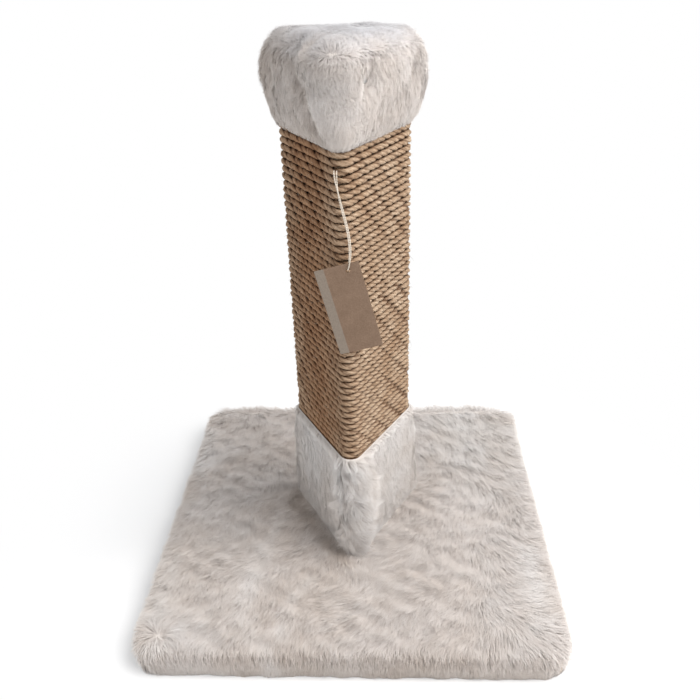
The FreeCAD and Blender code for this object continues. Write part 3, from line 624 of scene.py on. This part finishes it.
def ribbons(name, width, material, paths, normals, twist, tones):
    """One tapered ribbon for each path, its flat side turned outwards and twisted a little."""
    hairs, rows, _ = paths.shape
    heading = unit(np.gradient(paths, axis=1))
    side = unit(np.cross(normals[:, None, :], heading))
    face = np.cross(heading, side)
    angle = twist[:, None, None]
    side = side * np.cos(angle) + face * np.sin(angle)
    share = np.linspace(0, 1, rows)
    half = (width / 2 * (1 - share ** 1.6 * 0.9))[None, :, None]
    left, right = paths - side * half, paths + side * half
    body = np.stack([left[:, :-1], right[:, :-1]], axis=2).reshape(hairs, -1, 3)
    points = np.concatenate([body, paths[:, -1:]], axis=1)
    per_hair = points.shape[1]
    quad = np.array([[2 * i, 2 * i + 2, 2 * i + 3, 2 * i + 1] for i in range(rows - 2)])
    tip = np.array([[2 * rows - 4, per_hair - 1, 2 * rows - 3]])
    base = (np.arange(hairs) * per_hair)[:, None, None]
    piece = mesh_object(name, points.reshape(-1, 3),
                        [(quad[None] + base).reshape(-1, 4), (tip[None] + base).reshape(-1, 3)], material)
    flat = np.cross(heading, side)
    leaning = np.concatenate([np.repeat(flat[:, :-1], 2, axis=1), flat[:, -1:]], axis=1)
    soft = unit(normals[:, None, :] * (1 - OWN_SHADE) + leaning * OWN_SHADE)
    piece.data.attributes.new("custom_normal", "FLOAT_VECTOR", "POINT").data.foreach_set(
        "vector", soft.astype(np.float32).ravel())
    along = np.append(np.repeat(share[:-1], 2), 1.0)
    point_values(piece, "along", np.tile(along, hairs))
    point_values(piece, "tone", np.repeat(np.clip(tones / TONE_TOP, 0, 1), per_hair))
    cells = math.ceil(math.sqrt(hairs))
    cell = np.stack([np.arange(hairs) % cells, np.arange(hairs) // cells], axis=1)[:, None, :]
    local = np.column_stack([np.append(np.tile([0.1, 0.9], rows - 1), 0.5), 0.1 + 0.8 * along])
    uv_quads = (cell + local[quad.ravel()][None]) / cells
    uv_tips = (cell + local[tip.ravel()][None]) / cells
    corner_uv(piece, "OFBake", np.concatenate([uv_quads.reshape(-1, 2), uv_tips.reshape(-1, 2)]))
    return piece


# ---- base cover
PILE_ON_TOP = 4.4 * MM                     # of the lying pile, above the backing
PILE_ON_SIDE = 6.0 * MM
HEM = 36.0 * MM


def cover_profile():
    """(inset from the cover's outer edge, level) from the middle of the top round to the hem."""
    top = COVER_TOP - PILE_ON_TOP
    edge = COVER_HALF - PILE_ON_SIDE
    rim, lower = 11.0 * MM, 4.0 * MM       # how round it is at the rim, and under it
    rows = [(edge - reach * MM, top) for reach in (2, 30, 60, 90, 120, 150, 172, 190, 205)]
    for step in range(7):
        turn = math.pi / 2 * step / 6
        rows.append((rim - rim * math.sin(turn), top - rim + rim * math.cos(turn)))
    for step in range(5):
        turn = math.pi / 2 * step / 4
        rows.append((lower - lower * math.cos(turn), lower - lower * math.sin(turn) + 0.3 * MM))
    rows += [(HEM * 0.5, 0.3 * MM), (HEM, 0.3 * MM), (HEM, 1.9 * MM)]
    return rows, edge


def square_ring(half, corner, around):
    """A rounded square with the same number of points on every ring."""
    quarter = around // 4
    bend = quarter // 3
    points = []
    for turn in range(4):
        face = math.pi / 2 * turn
        straight = half - corner
        flat = [(half, straight * (2 * i / (quarter - bend) - 1)) for i in range(quarter - bend)]
        arc = [(straight + corner * math.cos(a), straight + corner * math.sin(a))
               for a in (math.pi / 2 * i / bend for i in range(bend))]
        for x, y in flat + arc:
            points.append((x * math.cos(face) - y * math.sin(face), x * math.sin(face) + y * math.cos(face)))
    return np.array(points)


# The way the pile lies: (x, y, direction in degrees), and lines along which its hairs are painted paler, as
# painted highlights of the nap, all in mm.
BRUSHED = ((-140, 150, 262), (-190, 40, 252), (-150, -60, 256), (-190, -170, 246), (-80, -170, 242),
           (20, -150, 236), (120, -160, 228), (100, -40, 224), (170, 20, 232), (120, 160, 286),
           (205, 110, 330), (212, -60, 5), (205, -160, 350), (0, 180, 268))
STAR = (-207, -205)                        # where the pile parts all ways, at one corner
PAINTED_LIGHT_CORNER = (150, 165)                     # the middle of a corner where the pile is painted paler, as painted light
PAINTED_HIGHLIGHT_LINES = (
    ((-86, -10), (-110, -111), (-118, -171), (-94, -203), (-85, -222)),
    ((-210, -90), (-206, -148), (-204, -212)),
    ((196, -60), (194, -118), (193, -189)),
    ((-48, -120), (-73, -191)),
    ((-214, 174), (-210, 77)),
    ((130, 190), (211, 171), (216, 90)),
)


def line_distance(places, line):
    """Distance on the flat from places to a line through points in mm."""
    flat = places[:, :2]
    best = np.full(len(flat), np.inf)
    for start, end in zip(line, line[1:]):
        start, end = np.array(start) * MM, np.array(end) * MM
        run = end - start
        share = np.clip(((flat - start) @ run) / (run @ run), 0, 1)
        best = np.minimum(best, np.linalg.norm(flat - start - share[:, None] * run, axis=1))
    return best


def make_base_cover(materials):
    rows, edge = cover_profile()
    around = 192
    swell = Waves(11, 90 * MM)
    rings = []
    for inset, level in rows:
        half = edge - inset
        ring = square_ring(half, max(30 * MM - inset * 0.6, half * 0.08), around)
        ring = np.column_stack([ring, np.full(around, level)])
        if level > BOARD_TOP:
            ring[:, 2] += 0.7 * MM * swell(ring) + 4 * MM * smooth_step(ring[:, 1], 0.14, 0.215)
        rings.append(ring)
    lid = np.arange(around)[None, ::-1]
    cover = mesh_object("base_cover", np.concatenate(rings), [ring_faces(len(rows), around), lid],
                        materials["backing"])
    flip_outwards(cover)
    centres = polygon_centres(cover)
    cover["hair_faces"] = (centres[:, 2] > 2.0 * MM).astype(float).tolist()
    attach(cover, "post")
    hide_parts("base_fur")
    wander, drift, tuft = Waves(21, 120 * MM), Waves(22, 30 * MM), Waves(23, 26 * MM)
    reach = COVER_HALF - 1.5 * MM

    def brushed(places):
        """The way the pile was brushed, from directions at a few places on the board."""
        flat = places[:, :2]
        heading = np.zeros((len(places), 2))
        for x, y, angle in BRUSHED:
            near = np.exp(-((flat - np.array([x, y]) * MM) ** 2).sum(axis=1) / (2 * (62 * MM) ** 2))
            turn = math.radians(angle)
            heading += (near + 1e-5)[:, None] * np.array([math.cos(turn), math.sin(turn)])
        away = flat - np.array(STAR) * MM
        size = np.linalg.norm(away, axis=1, keepdims=True)
        heading = unit(heading) + 2.5 * away / size * hump(size, 24 * MM)
        angle = np.arctan2(heading[:, 1], heading[:, 0]) + 0.24 * wander(places) + 0.09 * drift(places)
        return np.column_stack([np.cos(angle), np.sin(angle), np.zeros(len(places))])

    def flow(places, normals):
        lying = brushed(places)
        inner = np.clip(places[:, :2], -(edge - 22 * MM), edge - 22 * MM)
        outward = unit(np.column_stack([places[:, :2] - inner, np.zeros(len(places))]))
        near = smooth_step(np.abs(places[:, :2]).max(axis=1), edge - 26 * MM, edge - 6 * MM)[:, None]
        along_edge = np.cross(UP, outward) * 0.25
        return lying * (1 - near) + near * (outward * 0.7 + along_edge - UP * 1.1 + lying * 0.35)

    def on_side(places):
        return smooth_step(np.abs(places[:, :2]).max(axis=1), edge - 14 * MM, edge - 3 * MM)

    def pale(places):
        # Painted highlights: hairs near the given lines are made paler.
        painted_light = np.zeros(len(places))
        for line in PAINTED_HIGHLIGHT_LINES:
            painted_light = np.maximum(painted_light, 0.5 * hump(line_distance(places, line), 11 * MM))
        # Painted light: the back right corner of the pile is made paler.
        away = places[:, :2] - np.array(PAINTED_LIGHT_CORNER) * MM
        painted_lit_corner = hump(np.linalg.norm(away, axis=1), 95 * MM)
        # Painted shade: the pile at the foot of the collar's left face is made darker.
        distance, _ = post_distance(places)
        painted_shade_by_collar = hump(distance - COLLAR_OUTSIDE - 3 * MM, 6 * MM)
        left = smooth_step(-places[:, 0], 0, 12 * MM)
        # Painted light: the pile far to the left and right is made paler.
        painted_lit_wings = 0.28 * smooth_step(np.abs(places[:, 0] - 10 * MM), 80 * MM, 160 * MM)
        # The tone also falls on the cover's sides, as painted shade.
        return painted_light + 0.85 * painted_lit_corner + painted_lit_wings - 0.14 - 0.7 * painted_shade_by_collar * left - 0.3 * on_side(places)

    def bend_over(paths):
        over = np.maximum(np.abs(paths[..., :2]) - reach, 0)
        paths[..., :2] -= np.sign(paths[..., :2]) * over * 0.85
        paths[..., 2] -= 0.8 * over.max(axis=-1)
        paths[..., 2] = np.maximum(paths[..., 2], 0.4 * MM)
        return paths

    coat = Coat(seed=31, hairs=225000, length=20 * MM, width=0.5 * MM, lift=(33, 3), flow=flow, fuzz=0.15,
                lock_size=5 * MM, lock_pull=0.3, curl=0.15, pale=pale, bend_over=bend_over,
                stretch=lambda places: 1 - 0.35 * on_side(places),
                loft=lambda places: 3.5 * tuft(places) - 8 * on_side(places))
    piles = grow(cover, coat, "base_pile", materials["plush"], 9)


def make_collar(materials):
    around = 150
    bottom, lip = BOARD_TOP + 4 * MM, COLLAR_TOP
    rows = [(bottom, ROPE_OUTSIDE + 0.4 * MM, 6 * MM),
            (bottom + 30 * MM, ROPE_OUTSIDE + 1.2 * MM, 7 * MM),
            (bottom + 70 * MM, ROPE_OUTSIDE + 1.8 * MM, 9.5 * MM),
            (lip - 20 * MM, ROPE_OUTSIDE + 1.7 * MM, 12.5 * MM),
            (lip - 4 * MM, ROPE_OUTSIDE + 1.5 * MM, 13.5 * MM),
            (lip, ROPE_OUTSIDE + 1.0 * MM, 13 * MM),
            (lip, ROPE_OUTSIDE + 0.1 * MM, 12.2 * MM),
            (lip - 6 * MM, ROPE_OUTSIDE + 0.1 * MM, 12.2 * MM)]
    rings = triangle_rings(rows, around)
    collar = mesh_object("collar_cover", rings.reshape(-1, 3), [ring_faces(len(rows), around)],
                         materials["backing"])
    flip_outwards(collar)
    centres = polygon_centres(collar)
    outside = (centres[:, 2] < lip - 1 * MM) & (np.arange(len(centres)) < around * 5)
    collar["hair_faces"] = outside.astype(float).tolist()
    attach(collar, "post")
    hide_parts("collar_fur")
    drift, curls = Waves(41, 45 * MM), Waves(42, 20 * MM)

    def corner_share(places):
        return smooth_step(-places[:, 1], 50 * MM, 78 * MM)

    def low_share(places):
        return 1 - smooth_step(places[:, 2], COVER_TOP + 10 * MM, COLLAR_TOP - 40 * MM)

    def flow(places, normals):
        corner, down = corner_share(places), low_share(places)
        away = np.sign(places[:, 0] + 2 * MM)[:, None] * np.array([0.5, 0.86, 0.0])
        facing = smooth_step(-normals[:, 1], -0.1, 0.3)
        sides = (facing * (0.3 + corner * (1.0 - 0.75 * down)))[:, None]
        wave = (0.18 * drift(places) + 0.4 * corner * curls(places))[:, None]
        return -UP * 0.8 + away * sides + wave * np.cross(normals, UP)

    def stretch(places):
        near_lip = smooth_step(COLLAR_TOP - places[:, 2], 0.0, 22 * MM)
        return (0.45 + 0.55 * near_lip) * (0.8 + 0.45 * corner_share(places) + 0.3 * low_share(places))

    def bend_over(paths):
        left = smooth_step(-paths[..., 0], 0, 15 * MM) * (paths[..., 1] < 0.02)
        paths[..., 2] = np.maximum(paths[..., 2], COVER_TOP + (4 * left - 5) * MM)
        return paths

    def gather(places):
        return 0.25 + 0.95 * np.maximum(corner_share(places), 0.7 * low_share(places))

    def loft(places):
        return corner_share(places) * (16 - 22 * low_share(places)) - 6

    coat = Coat(seed=43, hairs=84000, length=22 * MM, width=0.5 * MM, lift=(30, 3), flow=flow, fuzz=0.15,
                lock_size=7.5 * MM, lock_pull=0.7, curl=0.2, steps=5, swing=0.25, gather=gather,
                stretch=stretch, loft=loft, bend_over=bend_over,
                pale=lambda places: np.full(len(places), 0.6))
    piles = grow(collar, coat, "collar_pile", materials["plush"], 4)


# ---- cap
# Outside of the cap: (share of the height, share of the fullness), from below.
CAP_PROFILE = ((0.0, 0.0), (0.03, 0.2), (0.08, 0.36), (0.2, 0.62), (0.34, 0.84), (0.5, 0.95),
               (0.64, 1.0), (0.74, 0.99), (0.82, 0.92), (0.88, 0.76), (0.93, 0.46), (0.965, 0.05),
               (0.985, -0.5), (0.995, -1.2), (1.0, -1.9), (1.003, -2.6))
CAP_PILE = 4.2 * MM
CAP_CORNER = 25 * MM
TACK_SPREAD = 84 * MM
TACK_DROP = 28 * MM
CAP_REACH = 88 * MM                        # of its corners from the axis
# How the top sags at the two corners behind: (direction, drawn in, raised).
CAP_TOP_CORNERS = ((150, 10 * MM, 2 * MM), (30, 6 * MM, 0.0))
POST_SHARPNESS = 55.7                      # of post_distance, to suit the cap's rounded corners
# Where a fold of the cover runs over the front corner: (level, direction seen from above).
FOLD = ((0.515, 269.5), (0.538, 262.0), (0.581, 239.6), (0.600, 236.0))
# Levels between which the fold and the looks of the top come in, the painted cool shade on top among them.
FOLD_GROWS, FOLD_FADES = (0.512, 0.535), (0.588, 0.6)
TOP_SAGS, TOP_SHORTENS, TOP_PAINTED_SHADE = (0.562, 0.602), (0.58, 0.6), (0.588, 0.603)


def post_distance(places):
    """Distance of places from the post's axis across its faces, rounded at the corners."""
    normals = np.array([(math.cos(face), math.sin(face), 0.0) for face in FACES])
    across = places @ normals.T
    weights = np.exp(POST_SHARPNESS * across)
    total = weights.sum(axis=-1)
    return np.log(total) / POST_SHARPNESS, unit((weights[..., None] * normals).sum(axis=-2))


def cap_rows(inset):
    """Sections of the cap's form, drawn in by inset from the CAD form's outside."""
    full = high("cap_fur").y - ROPE_OUTSIDE
    rows = []
    for share, fullness in CAP_PROFILE:
        drawn_in = inset + full * (1 - fullness)
        level = CAP_LOW + (CAP_TOP + 8.5 * MM - inset - CAP_LOW) * share
        rows.append((level, ROPE_OUTSIDE + full - drawn_in, max(CAP_CORNER - drawn_in, 5 * MM)))
    return rows


def past_fold(points):
    """How far points are past the line of the fold, seen from above, anticlockwise."""
    levels, turns = zip(*FOLD)
    line = np.radians(np.interp(points[:, 2], levels, turns))
    offset = (np.arctan2(points[:, 1], points[:, 0]) - line + math.pi) % (2 * math.pi) - math.pi
    return offset * np.linalg.norm(points[:, :2], axis=1)


def fold(points):
    """A roll of the cover that runs up from the front corner over the left face."""
    along = past_fold(points)
    raised = 5.5 * MM * hump(along - 9 * MM, 10 * MM)
    sunk = 4.5 * MM * hump(along + 12 * MM, 9 * MM)
    fade = smooth_step(points[:, 2], *FOLD_GROWS) * (1 - 0.5 * smooth_step(points[:, 2], *FOLD_FADES))
    _, outward = post_distance(points)
    return points + outward * ((raised - sunk) * fade)[:, None]


def tuft_places(inset):
    """Where the cover is drawn in: at the tacks, and on top behind the front corner."""
    out = high("cap_fur").y - inset
    places = [(np.array([-20 * MM, -58 * MM, CAP_TOP - inset]), UP * 0.6)]
    for face in FACES:
        normal = np.array([math.cos(face), math.sin(face), 0])
        across = np.array([-math.sin(face), math.cos(face), 0])
        for along in (-TACK_SPREAD / 2, TACK_SPREAD / 2):
            places.append((normal * out + across * along + UP * (CAP_TOP - TACK_DROP), normal))
    return places


def dent(points, inset, depth, reach):
    """Draws points in round each of those places."""
    for place, normal in tuft_places(inset):
        away = points - place
        flat = away - (away @ normal)[:, None] * normal
        near = np.exp(-(flat ** 2).sum(axis=1) / (2 * reach ** 2)) * ((away @ normal) > -30 * MM)
        points = points - normal * (near * depth)[:, None]
    return points


def cap_form(name, inset, material, dents):
    around = 240
    rows = cap_rows(inset)
    points = triangle_rings(rows, around).reshape(-1, 3)
    swell = Waves(51, 48 * MM)
    lump = 0.9 * MM * swell(points)
    centre = np.column_stack([points[:, :2] * 0.3, np.full(len(points), (CAP_LOW + CAP_TOP) / 2)])
    fade = smooth_step(points[:, 2], CAP_LOW, CAP_LOW + 20 * MM)
    points = points + unit(points - centre) * (lump * fade)[:, None]
    high_up = smooth_step(points[:, 2], *TOP_SAGS)
    for turn, drawn, raised in CAP_TOP_CORNERS:
        corner = np.array([math.cos(math.radians(turn)), math.sin(math.radians(turn))])
        away = np.linalg.norm(points[:, :2] - corner * CAP_REACH, axis=1)
        near = (high_up * hump(away, 42 * MM))[:, None]
        points = points + near * np.array([*(-corner * drawn), raised])
    points = dent(fold(points), inset, dents, 7 * MM)
    lid = (np.arange(around) + (len(rows) - 1) * around)[None]
    piece = mesh_object(name, points, [ring_faces(len(rows), around), lid], material)
    flip_outwards(piece)
    return piece


def make_cap(materials):
    foam = cap_form("cap_foam", 9.5 * MM, materials["foam"], 3 * MM)
    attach(foam, "post")
    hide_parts("cap_pad")
    cover = cap_form("cap_cover", CAP_PILE, materials["backing"], 6 * MM)
    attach(cover, "post")
    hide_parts("cap_fur")
    wander, drift, tuft = Waves(61, 60 * MM), Waves(62, 18 * MM), Waves(63, 14 * MM)

    def flow(places, normals):
        """The nap runs back over the top, and down on all three faces."""
        _, outward = post_distance(places)
        around = np.cross(UP, outward)
        top = smooth_step(normals[:, 2], 0.35, 0.8)[:, None]
        turn = (0.4 * wander(places) + 0.12 * drift(places))[:, None]
        down = outward * 0.4 - UP + around * turn
        return down * (1 - top) + (np.array([0.1, 1.0, 0.0]) + 0.6 * turn * around) * top

    def stretch(places):
        short_below = 0.4 + 0.6 * smooth_step(places[:, 2], CAP_LOW + 2 * MM, CAP_LOW + 26 * MM)
        return short_below * (1 - 0.2 * smooth_step(places[:, 2], *TOP_SHORTENS))

    def bend_over(paths):
        distance, outward = post_distance(paths)
        share = (paths[..., 2] - CAP_LOW) / (CAP_TOP - CAP_LOW)
        reach = np.interp(share, (0, 0.1, 0.3, 0.5), (-7.5 * MM, -5 * MM, -1.5 * MM, 3.5 * MM))
        over = np.maximum(distance - (high("cap_fur").y + reach), 0)
        paths = paths - outward * (over * 0.8)[..., None] - UP * (over * 0.6)[..., None]
        paths[..., 2] = np.maximum(paths[..., 2], CAP_LOW - 1.5 * MM)
        return paths

    def loft(places):
        return 2 * tuft(places)

    # The share of the top, whose pile gets painted shade, darker and bluer.
    def on_top(places):
        return smooth_step(places[:, 2], *TOP_PAINTED_SHADE)

    def pale(places):
        # Painted shade: the cap's top is made darker here, and bluer in the plush material.
        top = on_top(places)
        # Painted shade: the pile left of the fold, on the left face, is made darker.
        left = 1 - smooth_step(past_fold(places), -5 * MM, 3 * MM)
        left *= smooth_step(-places[:, 0], 5 * MM, 12 * MM) * (1 - top)
        painted_light = 0.05 - 0.2 * top - 0.4 * left
        # Painted shade: darker in the dimples at the tacks.
        for place, _ in tuft_places(CAP_PILE):
            painted_light -= 0.5 * hump(np.linalg.norm(places - place, axis=1), 6 * MM)
        return painted_light

    coat = Coat(seed=64, hairs=125000, length=13 * MM, width=0.44 * MM, lift=(34, 6), flow=flow,
                lock_size=5 * MM, lock_pull=0.24, curl=0.4, fuzz=0.32, swing=0.35, stretch=stretch,
                bend_over=bend_over, loft=loft, pale=pale, painted_cool_shade=on_top)
    grow(cover, coat, "cap_pile", materials["plush"], 6)


# ---- rope
ROPE_LAY = 32.0 * MM                       # length of one full twist of its three strands
STRANDS, STRAND_SIDES = 3, 7
STRAND_HALF = 2.3 * MM
LAY_STEPS = 10                             # points along a strand in one twist
PAINTED_SHADE_SIDE, PAINTED_SHADE_REACH = 212, 52          # degrees seen from above, where the rope is painted darker and redder, as painted shade on the left face
UV_STEP = 31                               # between one strand's map and the next one's


def rope_frame(distance, level_low):
    """Axis of the winding and its directions at distances along the outline."""
    flat, out = round_triangle(distance, ROPE_AXIS, ROPE_CORNER)
    turn = triangle_length(ROPE_AXIS, ROPE_CORNER)
    level = level_low + ROPE_HALF + ROPE_PITCH * distance / turn
    axis = np.column_stack([flat, level])
    out = np.column_stack([out, np.zeros(len(out))])
    climb = ROPE_PITCH / turn
    heading = unit(np.column_stack([-out[:, 1], out[:, 0], np.full(len(out), climb)]))
    return axis, out, heading, np.cross(heading, out)


def make_rope(name, node_name, level_low, turns, seed, materials):
    """One length of rope: three strands laid right-handed round the winding's axis."""
    draw = np.random.default_rng(seed)
    whole = triangle_length(ROPE_AXIS, ROPE_CORNER) * turns
    samples = int(whole / ROPE_LAY * LAY_STEPS)
    distance = np.linspace(0, whole, samples)
    axis, out, _, rise = rope_frame(distance, level_low)
    sway = Waves(seed, 0.19)
    axis = axis + rise * (0.22 * MM * sway(axis))[:, None]
    points, uv, lit_crest = [], [], []
    for strand in range(STRANDS):
        angle = (2 * math.pi * (distance / ROPE_LAY + strand / STRANDS) + 0.35 * sway(axis + strand))[:, None]
        radial = out * np.cos(angle) + rise * np.sin(angle)
        centre = axis + radial * (ROPE_HALF - STRAND_HALF - 0.1 * MM)
        forward = unit(np.gradient(centre, axis=0))
        side = unit(np.cross(forward, radial))
        half = STRAND_HALF * (1 + 0.06 * draw.normal(size=(samples, 1)).clip(-2, 2))
        ring = tube_rings(centre, half, radial, side, STRAND_SIDES)
        points.append(ring.reshape(-1, 3))
        depth = np.linalg.norm(ring - axis[:, None, :], axis=2)
        outer = ((ring - axis[:, None, :]) * out[:, None, :]).sum(axis=2)
        # How far out towards the rope's crest a point lies; low values get painted shade in the hollows and
        # against the post.
        lit_crest.append(np.clip((depth / ROPE_HALF - 0.45) / 0.5, 0, 1)
                     * smooth_step(outer, -0.5 * MM, 2.8 * MM))
        row, column = np.divmod(np.arange((samples - 1) * STRAND_SIDES)[:, None], STRAND_SIDES)
        uv.append(np.stack([row + (0, 0, 1, 1), column + (0, 1, 1, 0) + strand * UV_STEP], axis=-1))
    places = np.concatenate(points)
    piece = mesh_object(name, places, tube_faces(STRANDS, samples, STRAND_SIDES), materials["sisal"])
    point_values(piece, "lit_crest", np.concatenate(lit_crest))
    # Painted shade: darker and redder on the post's left face.
    turned = np.degrees(np.arctan2(places[:, 1], places[:, 0])) % 360
    point_values(piece, "painted_side_shade", np.exp(-((turned - PAINTED_SHADE_SIDE) / PAINTED_SHADE_REACH) ** 4))
    uv = np.concatenate(uv).reshape(-1, 2).astype(float)
    end_uv = np.zeros((2 * STRANDS * STRAND_SIDES, 2))
    strand_uv = np.column_stack([uv[:, 0] * whole / samples / MM, uv[:, 1] / STRAND_SIDES])
    corner_uv(piece, "strand", np.concatenate([strand_uv, end_uv]))
    corner_uv(piece, "OFBake", np.concatenate([rope_bake_uv(uv, samples, turns), end_uv]))
    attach(piece, "post")
    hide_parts(node_name)


def rope_bake_uv(uv, samples, turns):
    """Each turn of each strand on a strip of its own, so that the strips fill the square."""
    strips = turns * STRANDS
    per_strip = (samples - 1) / turns
    strand = np.floor(uv[:, 1] / UV_STEP)
    corner = uv[:, 1] - strand * UV_STEP
    first = uv[:, 0].reshape(-1, 4).min(axis=1).repeat(4)
    strip = np.minimum(np.floor(first / per_strip), turns - 1)
    across = (uv[:, 0] - strip * per_strip) / (per_strip + 1)
    up = (strand * turns + strip + 0.05 + 0.9 * corner / STRAND_SIDES) / strips
    return np.column_stack([across, up])


def make_rope_fibres(materials):
    """Loose fibres that stand off the rope."""
    draw = np.random.default_rng(77)
    count = 3000
    turn = triangle_length(ROPE_AXIS, ROPE_CORNER)
    distance = draw.uniform(3, ROPE_TURNS - 3, count) * turn
    axis, out, heading, rise = rope_frame(distance, ROPE_LOW)
    tilt = draw.normal(0, 0.55, (count, 1))
    normals = unit(out * np.cos(tilt) + rise * np.sin(tilt))
    root = axis + normals * (ROPE_HALF - 0.3 * MM)
    way = np.where(draw.random((count, 1)) < 0.5, -1.0, 1.0)
    length = draw.gamma(3.0, 1.5 * MM, (count, 1)).clip(1.5 * MM, 12 * MM)
    stand = draw.uniform(0.1, 0.55, (count, 1))
    lying = unit(heading * way + rise * draw.normal(0, 0.35, (count, 1)))
    steps = 3
    paths = [root]
    for index in range(steps):
        rising = stand * (1 - 0.35 * index)
        paths.append(paths[-1] + length / steps * unit(lying + normals * rising))
    piece = ribbons("rope_fibres", 0.24 * MM, materials["fibre"], np.stack(paths, axis=1), normals,
                    draw.uniform(-1.5, 1.5, count), draw.random(count))
    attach(piece, "post")


# ---- card and twine
STRING_ROUTE_MM = (
    (-5.6, -75.8, 494.6), (-5.6, -79.0, 494.6), (-5.5, -81.5, 492.2), (-4.8, -81.9, 486.0),
    (-2.2, -81.8, 474.5), (2.6, -81.9, 455.0), (7.0, -81.8, 434.0), (8.0, -81.9, 416.5),
    (6.2, -81.9, 405.5), (4.4, -81.9, 398.9), (4.4, -78.5, 398.9), (5.4, -78.5, 405.5),
    (6.4, -78.5, 417.0), (5.0, -78.6, 435.5), (0.6, -78.9, 455.5), (-2.7, -79.5, 474.0),
    (-3.4, -80.4, 486.0), (-3.3, -80.9, 491.8), (-3.1, -79.6, 494.3), (-3.1, -77.3, 494.6),
)
STRING_SIZE = 1.5 * MM
STRING_LAY = 5.0 * MM
PLIES, PLY_SIDES = 2, 8


def route_line():
    """The twine's line: points read from the NURBS spline of its route."""
    curve = bpy.data.curves.new("string_line", "CURVE")
    curve.dimensions = "3D"
    curve.resolution_u = 12
    spline = curve.splines.new("NURBS")
    spline.points.add(len(STRING_ROUTE_MM) - 1)
    for point, place in zip(spline.points, STRING_ROUTE_MM):
        point.co = (*(value * MM for value in place), 1.0)
    spline.order_u = 3
    spline.use_endpoint_u = True
    line = bpy.data.objects.new("string_line", curve)
    mesh = bpy.data.meshes.new_from_object(line)
    points = np.array([vertex.co for vertex in mesh.vertices])
    bpy.data.objects.remove(line)
    return points


def make_string(materials):
    """Twine of two plies twisted together."""
    line = route_line()
    run = np.concatenate([[0], np.cumsum(np.linalg.norm(np.diff(line, axis=0), axis=1))])
    samples = int(run[-1] / (STRING_LAY / LAY_STEPS))
    at = np.linspace(0, run[-1], samples)
    centre = np.column_stack([np.interp(at, run, line[:, axis]) for axis in range(3)])
    forward = unit(np.gradient(centre, axis=0))
    side = [unit(np.cross(forward[0], np.array([0.3, 0.2, 1.0])))]
    for heading in forward[1:]:
        side.append(unit(side[-1] - heading * (side[-1] @ heading)))
    side = np.array(side)
    rise = np.cross(forward, side)
    ply = STRING_SIZE / 4
    points = []
    for strand in range(PLIES):
        angle = (2 * math.pi * (at / STRING_LAY + strand / PLIES))[:, None]
        radial = side * np.cos(angle) + rise * np.sin(angle)
        middle = centre + radial * ply * 0.9
        ring = tube_rings(middle, ply * 1.1, radial, np.cross(forward, radial), PLY_SIDES)
        points.append(ring.reshape(-1, 3))
    piece = mesh_object("tag_twine", np.concatenate(points), tube_faces(PLIES, samples, PLY_SIDES),
                        materials["twine"])
    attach(piece, "hang_string")
    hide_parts("tag_string")


# ---- lining and finishes
def make_lining(materials):
    """The felt under the board."""
    half, thick = high("base_lining").x, high("base_lining").z
    edge = 0.5 * MM
    rows = [(half * 0.5, 0.0), (half - edge, 0.0), (half, edge), (half, thick - edge),
            (half - edge, thick), (half * 0.5, thick)]
    around = 96
    rings = np.array([np.column_stack([square_ring(reach, 3 * MM, around), np.full(around, level)])
                      for reach, level in rows])
    lids = np.array([np.arange(around)[::-1], np.arange(around) + (len(rows) - 1) * around])
    felt = mesh_object("lining_felt_sheet", rings.reshape(-1, 3), [ring_faces(len(rows), around), lids],
                       materials["felt"])
    flip_outwards(felt)
    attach(felt, "post")
    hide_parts("base_lining")


def dress_nodes(materials):
    """Gives materials to the CAD nodes that stay."""
    finishes = {
        "base_board": "board", "post_side_back": "core", "post_side_left": "core",
        "post_side_right": "core", "post_foot_block": "core", "post_head_block": "core",
        "side_nails": "steel", "post_screws": "steel", "rope_nails": "steel", "hem_staples": "steel",
        "collar_staples": "steel", "cap_tacks": "steel", "tag_card": "card",
    }
    for name, finish in finishes.items():
        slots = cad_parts[name].material_slots
        for slot in slots:
            slot.material = materials[finish]
        if not slots:
            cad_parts[name].data.materials.append(materials[finish])


materials = {
    "plush": plush_material(), "sisal": sisal_material(), "fibre": fibre_material(),
    "steel": steel_material(), "foam": foam_material(), "card": card_material(),
    "backing": fibrous_material("plush_backing", (900.0, 4.0), (0.3, (0.60, 0.55, 0.51)),
                                (0.7, (0.74, 0.69, 0.655)), 0.9, 0.5, 1.0 * MM),
    "felt": fibrous_material("lining_felt", (1300.0, 5.0, 0.7), (0.35, (0.018, 0.018, 0.019)),
                             (0.7, (0.075, 0.073, 0.07)), 0.95, 0.6, 0.6 * MM),
    "twine": fibrous_material("twine", (2600.0, 3.0), (0.3, (0.52, 0.43, 0.33)),
                              (0.7, (0.86, 0.79, 0.70)), 0.8, 0.6, 0.2 * MM),
    "board": wood_material("board_wood", (0.60, 0.45, 0.29), (0.42, 0.29, 0.17), 0),
    "core": wood_material("core_wood", (0.66, 0.51, 0.34), (0.48, 0.34, 0.20), 2),
}
make_camera()
make_world()
make_floor()
for lamp in LAMPS:
    make_lamp(*lamp)
make_string(materials)
dress_nodes(materials)
make_base_cover(materials)
make_collar(materials)
make_cap(materials)
make_rope("rope_lower_strands", "rope_lower", ROPE_LOW, 24, 71, materials)
make_rope("rope_upper_strands", "rope_upper", ROPE_MIDDLE, 23, 72, materials)
make_rope_fibres(materials)
make_lining(materials)

bpy.context.scene.view_settings.view_transform = "Standard"
